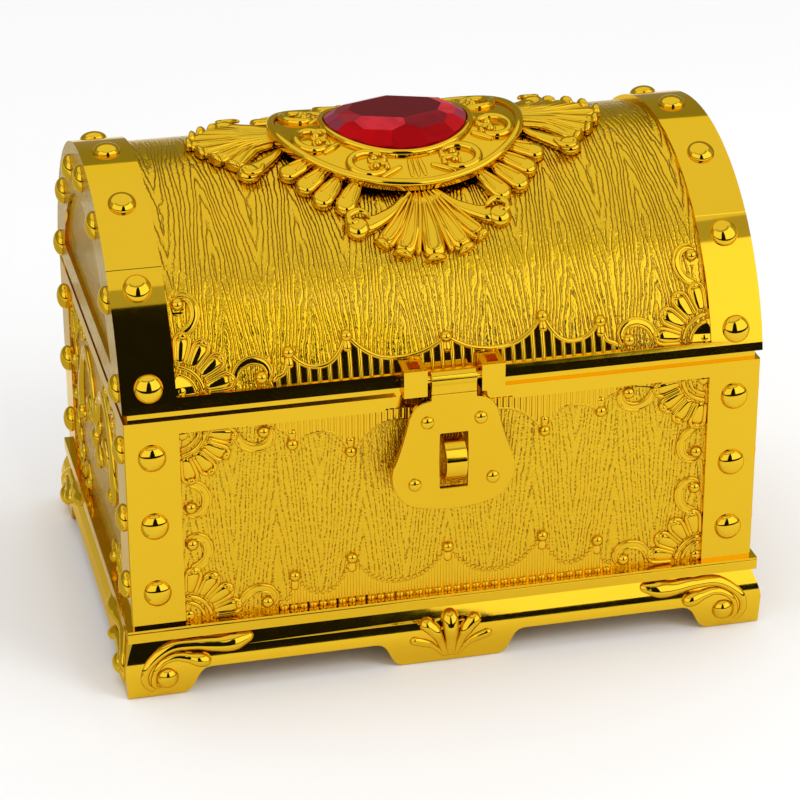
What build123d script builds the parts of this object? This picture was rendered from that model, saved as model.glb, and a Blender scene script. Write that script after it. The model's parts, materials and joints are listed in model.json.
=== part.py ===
from build123d import *
import os
from math import acos, atan2, cos, degrees, pi, radians, sin, sqrt

# Treasure chest box with a barrel lid, a hasp over a staple and a jewelled crest.
# X runs along the chest, Y to the back and Z up; the origin is the middle of the footprint.

# Box, in millimetres
box_length = 160.0
box_depth = 111.2
box_height = 55.3
box_wall = 2.3
box_floor = 2.4
corner_radius = 0.6
strap_width = 13.3
strap_relief = 1.2
rim_band = 3.6
rim_step = 1.2
rim_gap = 2.5
running_gap = 0.3

# Plinth with a swelling skirt above bracket feet
plinth_height = 18.2
ledge_height = 3.3
ledge_overhang = 1.35
skirt_inset = 0.1
skirt_foot = 7.6
skirt_swell = 0.63
foot_flare = 2.5
foot_draw = 0.4
plinth_wall = 2.4
plinth_deck = 2.5
apron_height = 6.7
foot_length = 13.5
foot_slope = 8.2
bracket_length = 23.6
bracket_slope = 7.8
side_foot_length = 14.0

# Barrel lid
lid_height = 46.2
lid_spring = 2.1
lid_extra = 0.2
lid_band = 3.2
end_bar = 6.6
end_relief = 1.0

# Rear hinges
hinge_spacing = 92.0
hinge_offset = 2.9
hinge_drop = 1.2
knuckle_radius = 2.5
knuckle_width = 8.0
lug_width = 4.0
lug_reach = 7.0
pin_radius = 1.0
bore_clearance = 0.05
pin_head_radius = 1.7
pin_head = 0.8
lid_open_angle = 105.0
stop_nose = 3.9
stop_gap = 0.12

# Hasp on the lid and staple on the box
hasp_block_width = 5.8
hasp_block_gap = 13.6
hasp_block_reach = 5.0
hasp_block_height = 6.8
hasp_block_drop = 0.9
hasp_block_rise = 1.0
hasp_barrel_radius = 2.1
hasp_barrel_out = 2.8
hasp_barrel_up = 2.5
hasp_neck_width = 11.4
hasp_thickness = 1.5
hasp_neck_drop = 4.9
hasp_shoulder_width = 22.4
hasp_shoulder_drop = 9.6
hasp_waist_width = 25.2
hasp_waist_drop = 15.0
hasp_hip_width = 29.9
hasp_hip_drop = 21.6
hasp_belly_width = 30.4
hasp_belly_drop = 27.2
hasp_toe_width = 21.6
hasp_toe_drop = 32.9
hasp_length = 34.6
rivet_top_spread = 13.4
rivet_top_drop = 10.6
rivet_low_spread = 19.7
rivet_low_drop = 27.0
slot_width = 7.0
slot_height = 14.8
slot_drop = 14.0
staple_width = 5.3
staple_strip = 1.5
staple_height = 11.4
staple_reach = 9.2
staple_root = 1.8
notch_top_width = 26.6
notch_bottom_width = 33.0

# Dome studs and small fasteners
stud_radius = 3.5
stud_height = 2.1
stud_shank_width = 1.6
stud_shank = 2.0
stud_spacing = 18.3
stud_drop = 9.45
stud_edge = 6.6
stud_low = 3.95
rivet_radius = 1.7
rivet_height = 1.1
rivet_shank_width = 1.0
rivet_shank = 1.0
screw_radius = 1.3
screw_head_radius = 4.4
screw_head = 1.8
screw_head_sides = 6
peg_radius = 3.0
peg_inset = 12.0
fit_gap = 0.1
dome_sides = 8
dome_rings = (0.0, 50.0)

# Carving on the panels: petalled shells in the corners, fluted fringes and arched scrolls on the ends
petal_count = 4
petal_start = 6.6
petal_reach = 14.2
petal_width = 2.2
petal_relief = 1.4
petal_outline = ((0.0, 0.5), (0.75, 1.0), (1.0, 0.6))
petal_taper = 20.0
shell_core = 5.6
shell_core_relief = 0.8
bead_along = 20.7
bead_in = 2.4
bead_radius = 1.7
bead_relief = 1.4
bead_sides = 6
bead_taper = 32.0
scroll_hook = ((13.9, 1.2), (15.0, 5.2), (18.4, 6.9), (22.4, 5.6), (19.2, 4.9), (16.6, 2.6))
fringe_posts = (0.0, 24.5, 39.0)
fringe_end = 43.2
fringe_shoulder = 3.0
fringe_sag = 3.4
fringe_relief = 0.5
fringe_top = (10.2, 10.2, 6.6)
fringe_foot = (12.2, 12.2, 9.0)
fringe_lid = (8.0, 10.7, 8.0)
arch_middle = 45.0
arch_outer = ((2.4, 6.0), (5.6, 13.6), (13.4, 18.2), (22.2, 15.6), (29.2, 6.4), (30.6, -3.2), (24.4, -8.6))
arch_inner = ((23.8, -3.6), (25.2, 4.4), (20.4, 12.2), (13.2, 14.6), (8.2, 11.4), (4.8, 5.0))
arch_relief = 1.9
arch_taper = 18.0
cluster_leaves = ((0.0, 11.0), (6.4, 6.0), (6.6, -5.6), (0.0, -9.4), (-6.6, -5.6), (-6.4, 6.0))
cluster_leaf_width = 2.2
cluster_root = 1.6

# Carved scrolls on the feet and a palmette on the middle bracket
scroll_relief = 2.0
scroll_edge = 4.7
scroll_reach = 32.2
scroll_tip = 14.2
scroll_top = 14.9
scroll_low = 1.5
scroll_ball = 12.0
scroll_inner_reach = 21.1
scroll_inner = 9.7
bracket_leaf_root = 1.7
bracket_leaf_width = 1.9
bracket_leaves = ((0.0, 13.0), (7.8, 11.7), (10.0, 6.5), (-7.8, 11.7), (-10.0, 6.5))

# Crest: leaf mount, medallion and gem, all set on the barrel of the lid
mount_thickness = 1.2
mount_length = 63.0
mount_width = 55.4
medallion_length = 65.2
medallion_width = 57.6
medallion_floor = 1.4
medallion_rim = 2.2
rim_rise = 1.2
collar_length = 39.8
collar_width = 36.8
collar_rise = 1.4
gem_length = 36.2
gem_width = 33.4
gem_floor = 0.6
gem_table_length = 23.2
gem_table_width = 15.2
gem_rise = 2.3
gem_girdle_drop = 0.3
gem_facets = 16
gem_star_facets = 8
gem_star_share = 0.45
gem_star_lift = 0.62
crest_peg_radius = 1.1
crest_peg_spread = 52.0
crest_peg_end = 2.0
push_nut_radius = 2.8
push_nut_thickness = 0.6
leaf_rise = 2.4
leaf_outline = ((0.0, 0.4), (0.55, 0.9), (0.85, 1.0), (1.0, 0.45))
groove_width = 1.6
groove_depth = 1.3
groove_start = 2.0
palmette_seat = 0.7
palmette_reach = 22.7
palmette_angles = (-37.0, -20.0, 0.0, 20.0, 37.0)
palmette_lobe_width = 3.4
palmette_volute_angle = 58.0
fan_seat = 2.5
fan_reach = 25.4
fan_angles = (-42.0, -28.0, -14.0, 0.0, 14.0, 28.0, 42.0)
fan_lobe_width = 3.0
fan_volute_angle = 56.0
volute_width = 3.2
volute_reach = 21.0
leaf_seat = 1.2
leaf_reach = 11.5
leaf_width = 2.8
leaf_places = ((29.6, 39.5), (41.5, 42.9), (52.6, 48.0), (61.7, 57.4))

# Places worked out from the sizes above
half_length = box_length / 2
half_depth = box_depth / 2
box_rim = plinth_height + box_height
lip_top = box_rim + rim_gap - running_gap
lid_bottom = box_rim + rim_gap
shell_thickness = strap_relief + box_wall
inner_half_length = half_length - shell_thickness
inner_half_depth = half_depth - shell_thickness
lid_half_length = half_length + lid_extra
vault_rise = lid_height - lid_spring
vault_radius = (half_depth**2 + vault_rise**2) / (2 * vault_rise)
vault_centre = lid_bottom + lid_height - vault_radius
panel_radius = vault_radius - strap_relief
inner_radius = panel_radius - box_wall
mount_bottom = panel_radius + running_gap
mount_top = mount_bottom + mount_thickness
leaf_top = mount_bottom + leaf_rise
medallion_bottom = mount_top + fit_gap
medallion_field = medallion_bottom + medallion_floor
gem_pocket = medallion_bottom + gem_floor
gem_back = gem_pocket + fit_gap
collar_top = medallion_field + collar_rise
gem_table = vault_centre + collar_top + gem_rise
gem_girdle = collar_top - gem_girdle_drop
hinge_y = half_depth + hinge_offset
hinge_z = lid_bottom - hinge_drop
hasp_y = -half_depth - hasp_barrel_out
hasp_z = lid_bottom + hasp_barrel_up
staple_z = hasp_z - slot_drop - slot_height / 2


def face_plane(axis, sign, distance):
    """Plane on a wall of the chest, with its normal pointing out and its Y direction up."""
    if axis == "x":
        return Plane(origin=(sign * distance, 0, 0), x_dir=(0, sign, 0), z_dir=(sign, 0, 0))
    return Plane(origin=(0, sign * distance, 0), x_dir=(-sign, 0, 0), z_dir=(0, sign, 0))


def vault_point(across, along, radius):
    """Point at a radius over the barrel; along is the arc length from the ridge to the front."""
    angle = along / vault_radius
    return Vector(across, -radius * sin(angle), vault_centre + radius * cos(angle))


def save(piece, name):
    """Label a finished piece and write it out."""
    piece.part.label = name
    export_step(piece.part, f"parts/{name}.step")


# Stud centres: three down each corner strap, seven over each lid strap and end arch
stud_heights = [box_rim - stud_drop - stud_spacing * row for row in range(3)]
stud_x = half_length - stud_edge
stud_y = half_depth - stud_edge
end_stud_radius = vault_radius - stud_edge
low_stud_angle = degrees(acos((lid_bottom + stud_low - vault_centre) / end_stud_radius))
strap_angles = [low_stud_angle * step / 3 for step in range(-3, 4)]


def wall_studs(axis):
    """Stud centres on a long or short wall, in that face's own directions."""
    spread = stud_y if axis == "x" else stud_x
    return [(side * spread, height) for side in (-1, 1) for height in stud_heights]


def strap_planes(across):
    """Planes square to the barrel at the studs of one lid strap."""
    planes = []
    for angle in strap_angles:
        outward = Vector(0, -sin(radians(angle)), cos(radians(angle)))
        origin = Vector(across, 0, vault_centre) + outward * vault_radius
        planes.append(Plane(origin=origin, x_dir=(1, 0, 0), z_dir=outward))
    return planes


def end_stud_places():
    """Stud centres on an end arch, in that face's own directions."""
    places = []
    for angle in strap_angles:
        across = end_stud_radius * sin(radians(angle))
        places.append((across, vault_centre + end_stud_radius * cos(radians(angle))))
    return places


def stud_planes(axis, sign):
    """Planes at the studs on one wall of the box."""
    distance = half_length if axis == "x" else half_depth
    wall = face_plane(axis, sign, distance)
    return [Plane(origin=wall.from_local_coords((u, v, 0)), x_dir=wall.x_dir, z_dir=wall.z_dir)
            for u, v in wall_studs(axis)]


def end_planes(sign):
    """Planes at the studs on one end of the lid."""
    wall = face_plane("x", sign, lid_half_length)
    return [Plane(origin=wall.from_local_coords((u, v, 0)), x_dir=wall.x_dir, z_dir=wall.z_dir)
            for u, v in end_stud_places()]


def dome_stud(radius, height, shank_width, shank):
    """A domed head of a few rings on a square shank, standing on the XY plane."""
    with BuildPart() as stud:
        for lower, upper in zip(dome_rings, dome_rings[1:]):
            run = radius * (cos(radians(lower)) - cos(radians(upper)))
            rise = height * (sin(radians(upper)) - sin(radians(lower)))
            with BuildSketch(Plane.XY.offset(height * sin(radians(lower)))):
                RegularPolygon(radius * cos(radians(lower)), dome_sides)
            extrude(amount=rise, taper=degrees(atan2(run * cos(pi / dome_sides), rise)))
        with BuildSketch(Plane.XY):
            Rectangle(shank_width, shank_width)
        extrude(amount=-shank)
    return stud.part


os.makedirs("parts", exist_ok=True)

# Plinth: ledge, skirt and lip drawn once and carried round by crossing two extrusions
skirt_top = plinth_height - ledge_height


def plinth_profile(half_width):
    """Outline across the plinth at one half width of the box."""
    ledge = half_width + ledge_overhang
    neck = half_width - skirt_inset
    lip = half_width + foot_flare
    base = lip - foot_draw
    skirt_middle = (neck + (lip - neck) * skirt_swell, (skirt_foot + skirt_top) / 2)
    with BuildLine() as outline:
        Polyline((-base, 0), (base, 0), (lip, skirt_foot))
        ThreePointArc((lip, skirt_foot), skirt_middle, (neck, skirt_top))
        Polyline((neck, skirt_top), (ledge, skirt_top), (ledge, plinth_height))
        Line((ledge, plinth_height), (-ledge, plinth_height))
        Polyline((-ledge, plinth_height), (-ledge, skirt_top), (-neck, skirt_top))
        ThreePointArc((-neck, skirt_top), (-skirt_middle[0], skirt_middle[1]), (-lip, skirt_foot))
        Line((-lip, skirt_foot), (-base, 0))
    return outline.line


def apron_gap(start, stop, start_slope, stop_slope):
    """Opening under the apron between two feet, with an S-curved rise at each end."""
    level = (1, 0)
    with BuildLine() as gap:
        Spline((start, 0), (start + start_slope, apron_height), tangents=[level, level])
        Line((start + start_slope, apron_height), (stop - stop_slope, apron_height))
        Spline((stop - stop_slope, apron_height), (stop, 0), tangents=[level, level])
        Polyline((stop, 0), (stop, -apron_height), (start, -apron_height), (start, 0))
    return gap.line


def foot_scroll(end):
    """Outline of the scroll carved on a foot: a long leaf that rolls over and under to a ball."""
    edge = end - scroll_edge
    ball = end - scroll_ball
    tip = (end - scroll_reach, scroll_tip)
    middle = (scroll_top + scroll_low) / 2
    with BuildLine() as outline:
        Line(tip, (ball, scroll_top))
        ThreePointArc((ball, scroll_top), (edge, middle), (ball, scroll_low))
        ThreePointArc((ball, scroll_low), (ball - scroll_edge, (middle + scroll_low) / 2), (ball, middle))
        ThreePointArc((ball, middle), ((ball + end - scroll_inner_reach) / 2, scroll_inner),
                      (end - scroll_inner_reach, scroll_inner))
        Line((end - scroll_inner_reach, scroll_inner), tip)
    return outline.line


peg_places = [(x * (inner_half_length - peg_inset), y * (inner_half_depth - peg_inset))
              for x in (-1, 1) for y in (-1, 1)]
foot_end = half_length + foot_flare
side_foot_end = half_depth + foot_flare


def leaf_points(root, tip, width, outline=leaf_outline):
    """Corners of a leaf that widens from its root and draws in at its tip."""
    step = tip - root
    side = Vector(-step.Y, step.X).normalized()
    rows = [(root + step * share, side * (width * part)) for share, part in outline]
    return [point + out for point, out in rows] + [point - out for point, out in reversed(rows)]


def carving(face, end, across, half_width, leaves=()):
    """Scrolls and leaves on two opposite faces, as deep as the plinth's outline grown by the relief."""
    outline = foot_scroll(end).edges()
    root = Vector(0, bracket_leaf_root)
    with BuildPart() as form:
        with BuildSketch(face):
            make_face(outline)
            make_face([mirror(edge, about=Plane.YZ, mode=Mode.PRIVATE) for edge in outline])
            for tip in leaves:
                Polygon(*leaf_points(root, Vector(*tip), bracket_leaf_width), align=None)
        extrude(amount=foot_end + scroll_relief, both=True)
        with BuildSketch(across):
            make_face(plinth_profile(half_width + scroll_relief).edges())
        extrude(amount=foot_end, both=True, mode=Mode.INTERSECT)
    return form.part


with BuildPart() as plinth:
    with BuildSketch(Plane.YZ):
        make_face(plinth_profile(half_depth).edges())
    extrude(amount=foot_end, both=True)
    with BuildSketch(Plane.XZ):
        make_face(plinth_profile(half_length).edges())
    extrude(amount=side_foot_end, both=True, mode=Mode.INTERSECT)
    add(carving(Plane.XZ, foot_end, Plane.YZ, half_depth, bracket_leaves))
    add(carving(Plane.YZ, side_foot_end, Plane.XZ, half_length))
    with BuildSketch(Plane.XY):
        Rectangle(2 * (half_length - skirt_inset - plinth_wall), 2 * (half_depth - skirt_inset - plinth_wall))
    extrude(amount=plinth_height - plinth_deck, mode=Mode.SUBTRACT)
    with BuildSketch(Plane.XZ):
        for side in (-1, 1):
            edges = apron_gap(bracket_length / 2, foot_end - foot_length,
                              bracket_slope, foot_slope).edges()
            if side > 0:
                make_face(edges)
            else:
                make_face([mirror(edge, about=Plane.YZ, mode=Mode.PRIVATE) for edge in edges])
    extrude(amount=side_foot_end, both=True, mode=Mode.SUBTRACT)
    with BuildSketch(Plane.YZ):
        make_face(apron_gap(-side_foot_end + side_foot_length, side_foot_end - side_foot_length,
                            foot_slope, foot_slope).edges())
    extrude(amount=foot_end, both=True, mode=Mode.SUBTRACT)
    with BuildSketch(Plane.XY.offset(plinth_height - plinth_deck)):
        with Locations(*peg_places):
            Circle(peg_radius + fit_gap)
    extrude(amount=plinth_deck, mode=Mode.SUBTRACT)
save(plinth, "plinth")

# Carving of the panels, as flat shapes in each panel's own directions


def panel_corners(half_span, heights):
    """Corners of a panel with the two signs that lead into it."""
    return [(Vector(side * half_span, height), -side, rise)
            for side in (-1, 1) for height, rise in heights]


def corner_petals(corner, across, upward):
    """Petals of the shell that fans out of one corner."""
    petals = []
    for petal in range(petal_count):
        turn = radians(90 * (petal + 0.5) / petal_count)
        way = Vector(across * cos(turn), upward * sin(turn))
        petals.append(leaf_points(corner + way * petal_start, corner + way * petal_reach,
                                  petal_width, petal_outline))
    return petals


def corner_scrolls(corner, across, upward):
    """Scrolls that run from the shell along the two edges of its corner."""
    level = [corner + Vector(across * x, upward * y) for x, y in scroll_hook]
    upright = [corner + Vector(across * y, upward * x) for x, y in scroll_hook]
    return [level, upright]


def corner_core(corner, across, upward):
    """Quarter boss at the heart of the shell."""
    turns = [radians(angle) for angle in (0, 45, 90)]
    ring = [corner + Vector(across * cos(turn), upward * sin(turn)) * shell_core for turn in turns]
    return [corner, *ring]


def corner_beads(corner, across, upward):
    """Beads that the scrolls curl on."""
    turns = [2 * pi * side / bead_sides for side in range(bead_sides)]
    ring = [Vector(cos(turn), sin(turn)) * bead_radius for turn in turns]
    centres = [corner + Vector(across * x, upward * y) for x, y in ((bead_along, bead_in), (bead_in, bead_along))]
    return [[centre + point for point in ring] for centre in centres]


def fringe(depths, base, direction):
    """A fluted fringe with a peak at each post, standing on a straight base line."""
    half = []
    for post, depth in zip(fringe_posts, depths):
        half += [(post - fringe_shoulder, fringe_sag), (post, depth), (post + fringe_shoulder, fringe_sag)]
    half = [point for point in half if point[0] >= 0] + [(fringe_end, fringe_sag), (fringe_end, 0)]
    whole = half + [(-x, depth) for x, depth in reversed(half) if x > 0]
    return [Vector(x, base + direction * depth) for x, depth in whole]


panel_heights = ((plinth_height, 1), (box_rim - rim_band, -1))
end_arch = [Vector(x, arch_middle + y) for x, y in arch_outer + arch_inner]
cluster_middle = Vector(0, arch_middle)
end_cluster = [leaf_points(cluster_middle + Vector(*tip).normalized() * cluster_root, cluster_middle + Vector(*tip),
                           cluster_leaf_width, petal_outline) for tip in cluster_leaves]

# Box shell: corner straps and rim band stand proud of recessed panels on all four walls
with BuildPart() as box_shell:
    with BuildSketch(Plane.XY.offset(plinth_height)):
        RectangleRounded(box_length, box_depth, corner_radius)
    extrude(amount=box_height)
    with BuildSketch(Plane.XY.offset(box_rim)):
        Rectangle(box_length - 2 * rim_step, box_depth - 2 * rim_step)
    extrude(amount=lip_top - box_rim)
    with BuildSketch(Plane.XY.offset(plinth_height + box_floor)):
        Rectangle(2 * inner_half_length, 2 * inner_half_depth)
    extrude(amount=lip_top - plinth_height, mode=Mode.SUBTRACT)
    for axis, distance, span in (("x", half_length, box_depth), ("y", half_depth, box_length)):
        for sign in (-1, 1):
            with BuildSketch(face_plane(axis, sign, distance)):
                with Locations((0, plinth_height)):
                    Rectangle(span - 2 * strap_width, box_height - rim_band, align=(Align.CENTER, Align.MIN))
            extrude(amount=-strap_relief, mode=Mode.SUBTRACT)
            panel = face_plane(axis, sign, distance - strap_relief)
            corners = panel_corners(span / 2 - strap_width, panel_heights)
            with BuildSketch(panel):
                for corner in corners:
                    for petal in corner_petals(*corner):
                        Polygon(*petal, align=None)
            extrude(amount=petal_relief, taper=petal_taper)
            with BuildSketch(panel):
                for corner in corners:
                    for scroll in corner_scrolls(*corner):
                        Polygon(*scroll, align=None)
            extrude(amount=petal_relief)
            with BuildSketch(panel):
                for corner in corners:
                    Polygon(*corner_core(*corner), align=None)
            extrude(amount=shell_core_relief)
            with BuildSketch(panel):
                for corner in corners:
                    for bead in corner_beads(*corner):
                        Polygon(*bead, align=None)
            extrude(amount=bead_relief, taper=bead_taper)
            if axis == "y":
                with BuildSketch(panel):
                    Polygon(*fringe(fringe_top, box_rim - rim_band, -1), align=None)
                    Polygon(*fringe(fringe_foot, plinth_height, 1), align=None)
                extrude(amount=fringe_relief)
            else:
                with BuildSketch(panel):
                    Polygon(*end_arch, align=None)
                    Polygon(*[Vector(-point.X, point.Y) for point in end_arch], align=None)
                extrude(amount=arch_relief, taper=arch_taper)
                with BuildSketch(panel):
                    for leaf in end_cluster:
                        Polygon(*leaf, align=None)
                extrude(amount=petal_relief)
    with BuildSketch(face_plane("y", -1, half_depth)):
        with Locations((0, box_rim - rim_band)):
            Polygon(
                (-notch_bottom_width / 2, 0),
                (notch_bottom_width / 2, 0),
                (notch_top_width / 2, rim_band),
                (-notch_top_width / 2, rim_band),
                align=None,
            )
    extrude(amount=-strap_relief, mode=Mode.SUBTRACT)
    with BuildSketch(Plane.XY.offset(plinth_height)):
        with Locations(*peg_places):
            Circle(peg_radius)
    extrude(amount=-(plinth_deck - fit_gap))
    with BuildSketch(Plane.XY.offset(plinth_height - plinth_deck)):
        with Locations(*peg_places):
            Circle(screw_radius + bore_clearance)
    extrude(amount=plinth_deck + box_floor / 2, mode=Mode.SUBTRACT)
    for hinge in (-1, 1):
        for side in (-1, 1):
            lug_middle = hinge * hinge_spacing / 2 + side * (knuckle_width / 2 + running_gap + lug_width / 2)
            with BuildSketch(Plane.YZ.offset(lug_middle)):
                with Locations((hinge_y, hinge_z)):
                    Circle(knuckle_radius)
                Polygon(
                    (half_depth, box_rim),
                    (half_depth, box_rim - lug_reach),
                    (hinge_y + knuckle_radius, hinge_z),
                    (hinge_y, hinge_z),
                    align=None,
                )
            extrude(amount=lug_width / 2, both=True)
            with BuildSketch(Plane.YZ.offset(lug_middle)):
                with Locations((hinge_y, hinge_z)):
                    Circle(pin_radius + bore_clearance)
            extrude(amount=lug_width / 2, both=True, mode=Mode.SUBTRACT)
    with BuildSketch(*(plane for axis in ("x", "y") for sign in (-1, 1) for plane in stud_planes(axis, sign))):
        Rectangle(stud_shank_width + fit_gap, stud_shank_width + fit_gap)
    extrude(amount=-(stud_shank + fit_gap), mode=Mode.SUBTRACT)
    with BuildSketch(Plane.XZ.offset(half_depth)):
        for leg in (-1, 1):
            with Locations((0, staple_z + leg * (staple_height - staple_strip) / 2)):
                Rectangle(staple_width + 2 * bore_clearance, staple_strip + 2 * bore_clearance)
    extrude(amount=-shell_thickness, mode=Mode.SUBTRACT)
save(box_shell, "box_shell")

# Screws up through the deck into the pegs of the box floor
with BuildPart() as plinth_screws:
    with BuildSketch(Plane.XY.offset(plinth_height - plinth_deck - fit_gap)):
        with Locations(*peg_places):
            RegularPolygon(screw_head_radius, screw_head_sides)
    extrude(amount=-screw_head)
    with BuildSketch(Plane.XY.offset(plinth_height - plinth_deck - fit_gap)):
        with Locations(*peg_places):
            Circle(screw_radius)
    extrude(amount=plinth_deck + fit_gap + box_floor / 2 - fit_gap)
save(plinth_screws, "plinth_screws")

# Lid shell: barrel vault with end straps, recessed panel, end arches, hasp blocks and knuckles


def arch_outline(radius, reach, spring):
    """Closed outline of the vault: straight springers and one arc over the top."""
    with BuildLine() as outline:
        Line((-reach, lid_bottom), (reach, lid_bottom))
        Line((reach, lid_bottom), (reach, spring))
        ThreePointArc((reach, spring), (0, vault_centre + radius), (-reach, spring))
        Line((-reach, spring), (-reach, lid_bottom))
    return outline.line


def wrapped(outlines, high, facing):
    """Flat outlines pressed onto the barrel from the front or the back, up to a radius."""
    with BuildPart() as form:
        with BuildSketch(face_plane("y", facing, 0)):
            for outline in outlines:
                corners = [vault_point(point.X, -point.Y, high) for point in outline]
                Polygon(*[(corner.X, corner.Z) for corner in corners], align=None)
        extrude(amount=2 * high)
        with BuildSketch(Plane.YZ):
            with Locations((0, vault_centre)):
                Circle(high)
                Circle(panel_radius - fit_gap, mode=Mode.SUBTRACT)
        extrude(amount=half_length, both=True, mode=Mode.INTERSECT)
    return form.part


lid_panel_foot = vault_radius * acos((lid_bottom + lid_band - vault_centre) / panel_radius)
lid_corners = panel_corners(lid_half_length - strap_width, ((-lid_panel_foot, 1),))
lid_shells = [outline for corner in lid_corners
              for outline in corner_petals(*corner) + corner_scrolls(*corner) + corner_beads(*corner)]
inner_spring = vault_centre + sqrt(inner_radius**2 - inner_half_depth**2)
nose_angle = degrees(acos(-(hinge_offset - stop_gap) / stop_nose))
nose_rest = radians(lid_open_angle - nose_angle)
crest_peg_places = [(-crest_peg_spread / 2, 0), (crest_peg_spread / 2, 0)]

with BuildPart() as lid_shell:
    with BuildSketch(Plane.YZ):
        make_face(arch_outline(vault_radius, half_depth, lid_bottom + lid_spring).edges())
    extrude(amount=lid_half_length, both=True)
    with BuildSketch(Plane.YZ):
        make_face(arch_outline(inner_radius, inner_half_depth, inner_spring).edges())
    extrude(amount=lid_half_length - shell_thickness, both=True, mode=Mode.SUBTRACT)
    with BuildSketch(Plane.YZ):
        with Locations((0, vault_centre)):
            Circle(vault_radius + strap_relief)
            Circle(panel_radius, mode=Mode.SUBTRACT)
        with Locations((0, lid_bottom + lid_band)):
            Rectangle(2 * box_depth, 2 * box_depth, align=(Align.CENTER, Align.MAX), mode=Mode.SUBTRACT)
    extrude(amount=lid_half_length - strap_width, both=True, mode=Mode.SUBTRACT)
    for sign in (-1, 1):
        with BuildSketch(face_plane("x", sign, lid_half_length)):
            with Locations((0, vault_centre)):
                Circle(vault_radius - strap_width)
            with Locations((0, lid_bottom + end_bar)):
                Rectangle(2 * box_depth, 2 * box_depth, align=(Align.CENTER, Align.MAX), mode=Mode.SUBTRACT)
        extrude(amount=-end_relief, mode=Mode.SUBTRACT)
    for facing in (-1, 1):
        add(wrapped(lid_shells, panel_radius + petal_relief, facing))
        add(wrapped([corner_core(*corner) for corner in lid_corners], panel_radius + shell_core_relief, facing))
        add(wrapped([fringe(fringe_lid, -lid_panel_foot, 1)], panel_radius + fringe_relief, facing))
    for side in (-1, 1):
        block_middle = side * (hasp_block_gap + hasp_block_width) / 2
        block_bottom = lid_bottom - hasp_block_drop
        block_front = -half_depth - hasp_block_reach
        block_top = block_bottom + hasp_block_height
        with BuildSketch(Plane.YZ.offset(block_middle)):
            Polygon(
                (block_front, block_bottom),
                (-half_depth, block_bottom),
                (-half_depth, lid_bottom),
                (-half_depth + strap_relief, lid_bottom),
                (-half_depth + strap_relief, block_top + hasp_block_rise),
                (block_front, block_top),
                align=None,
            )
        extrude(amount=hasp_block_width / 2, both=True)
        pocket = hasp_block_width / 2
        with BuildSketch(Plane.XY.offset(block_top + hasp_block_rise)):
            with Locations((block_middle, block_front + hasp_block_reach / 2 + running_gap)):
                Rectangle(pocket, pocket + running_gap)
        extrude(amount=-pocket + running_gap, mode=Mode.SUBTRACT)
        with BuildSketch(Plane.YZ.offset(block_middle)):
            with Locations((hasp_y, hasp_z)):
                Circle(pin_radius + bore_clearance)
        extrude(amount=hasp_block_width / 2, both=True, mode=Mode.SUBTRACT)
    for hinge in (-1, 1):
        with BuildSketch(Plane.YZ.offset(hinge * hinge_spacing / 2)):
            with Locations((hinge_y, hinge_z)):
                Circle(knuckle_radius)
            Polygon(
                (half_depth, lid_bottom + running_gap),
                (half_depth, lid_bottom + lid_band),
                (hinge_y, hinge_z + knuckle_radius),
                (hinge_y, hinge_z),
                align=None,
            )
            Polygon(
                (hinge_y, hinge_z - knuckle_radius),
                (hinge_y + stop_nose * cos(nose_rest), hinge_z + stop_nose * sin(nose_rest)),
                (hinge_y + knuckle_radius, hinge_z),
                (hinge_y, hinge_z),
                align=None,
            )
        extrude(amount=knuckle_width / 2, both=True)
        with BuildSketch(Plane.YZ.offset(hinge * hinge_spacing / 2)):
            with Locations((hinge_y, hinge_z)):
                Circle(pin_radius + bore_clearance)
        extrude(amount=knuckle_width / 2, both=True, mode=Mode.SUBTRACT)
    with BuildSketch(*strap_planes(-stud_x), *strap_planes(stud_x), *end_planes(-1), *end_planes(1)):
        Rectangle(stud_shank_width + fit_gap, stud_shank_width + fit_gap)
    extrude(amount=-(stud_shank + fit_gap), mode=Mode.SUBTRACT)
    with BuildSketch(Plane.XY.offset(vault_centre)):
        with Locations(*crest_peg_places):
            Circle(crest_peg_radius + fit_gap)
    extrude(amount=vault_radius, mode=Mode.SUBTRACT)
save(lid_shell, "lid_shell")

# Hinge pins, each with one domed head
pin_length = knuckle_width + 2 * (running_gap + lug_width)
for name, hinge in (("hinge_pin_left", -1), ("hinge_pin_right", 1)):
    start = hinge * (hinge_spacing / 2 + pin_length / 2)
    with BuildPart() as hinge_pin:
        with BuildSketch(Plane(origin=(start, hinge_y, hinge_z), x_dir=(0, 1, 0), z_dir=(-hinge, 0, 0))):
            Circle(pin_radius)
        extrude(amount=pin_length)
        with BuildSketch(Plane(origin=(start, hinge_y, hinge_z), x_dir=(0, 1, 0), z_dir=(hinge, 0, 0))):
            Circle(pin_head_radius)
        extrude(amount=pin_head)
        chamfer(hinge_pin.faces().sort_by(Axis.X)[-1 if hinge > 0 else 0].edges(), pin_head / 2)
    save(hinge_pin, name)

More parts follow.
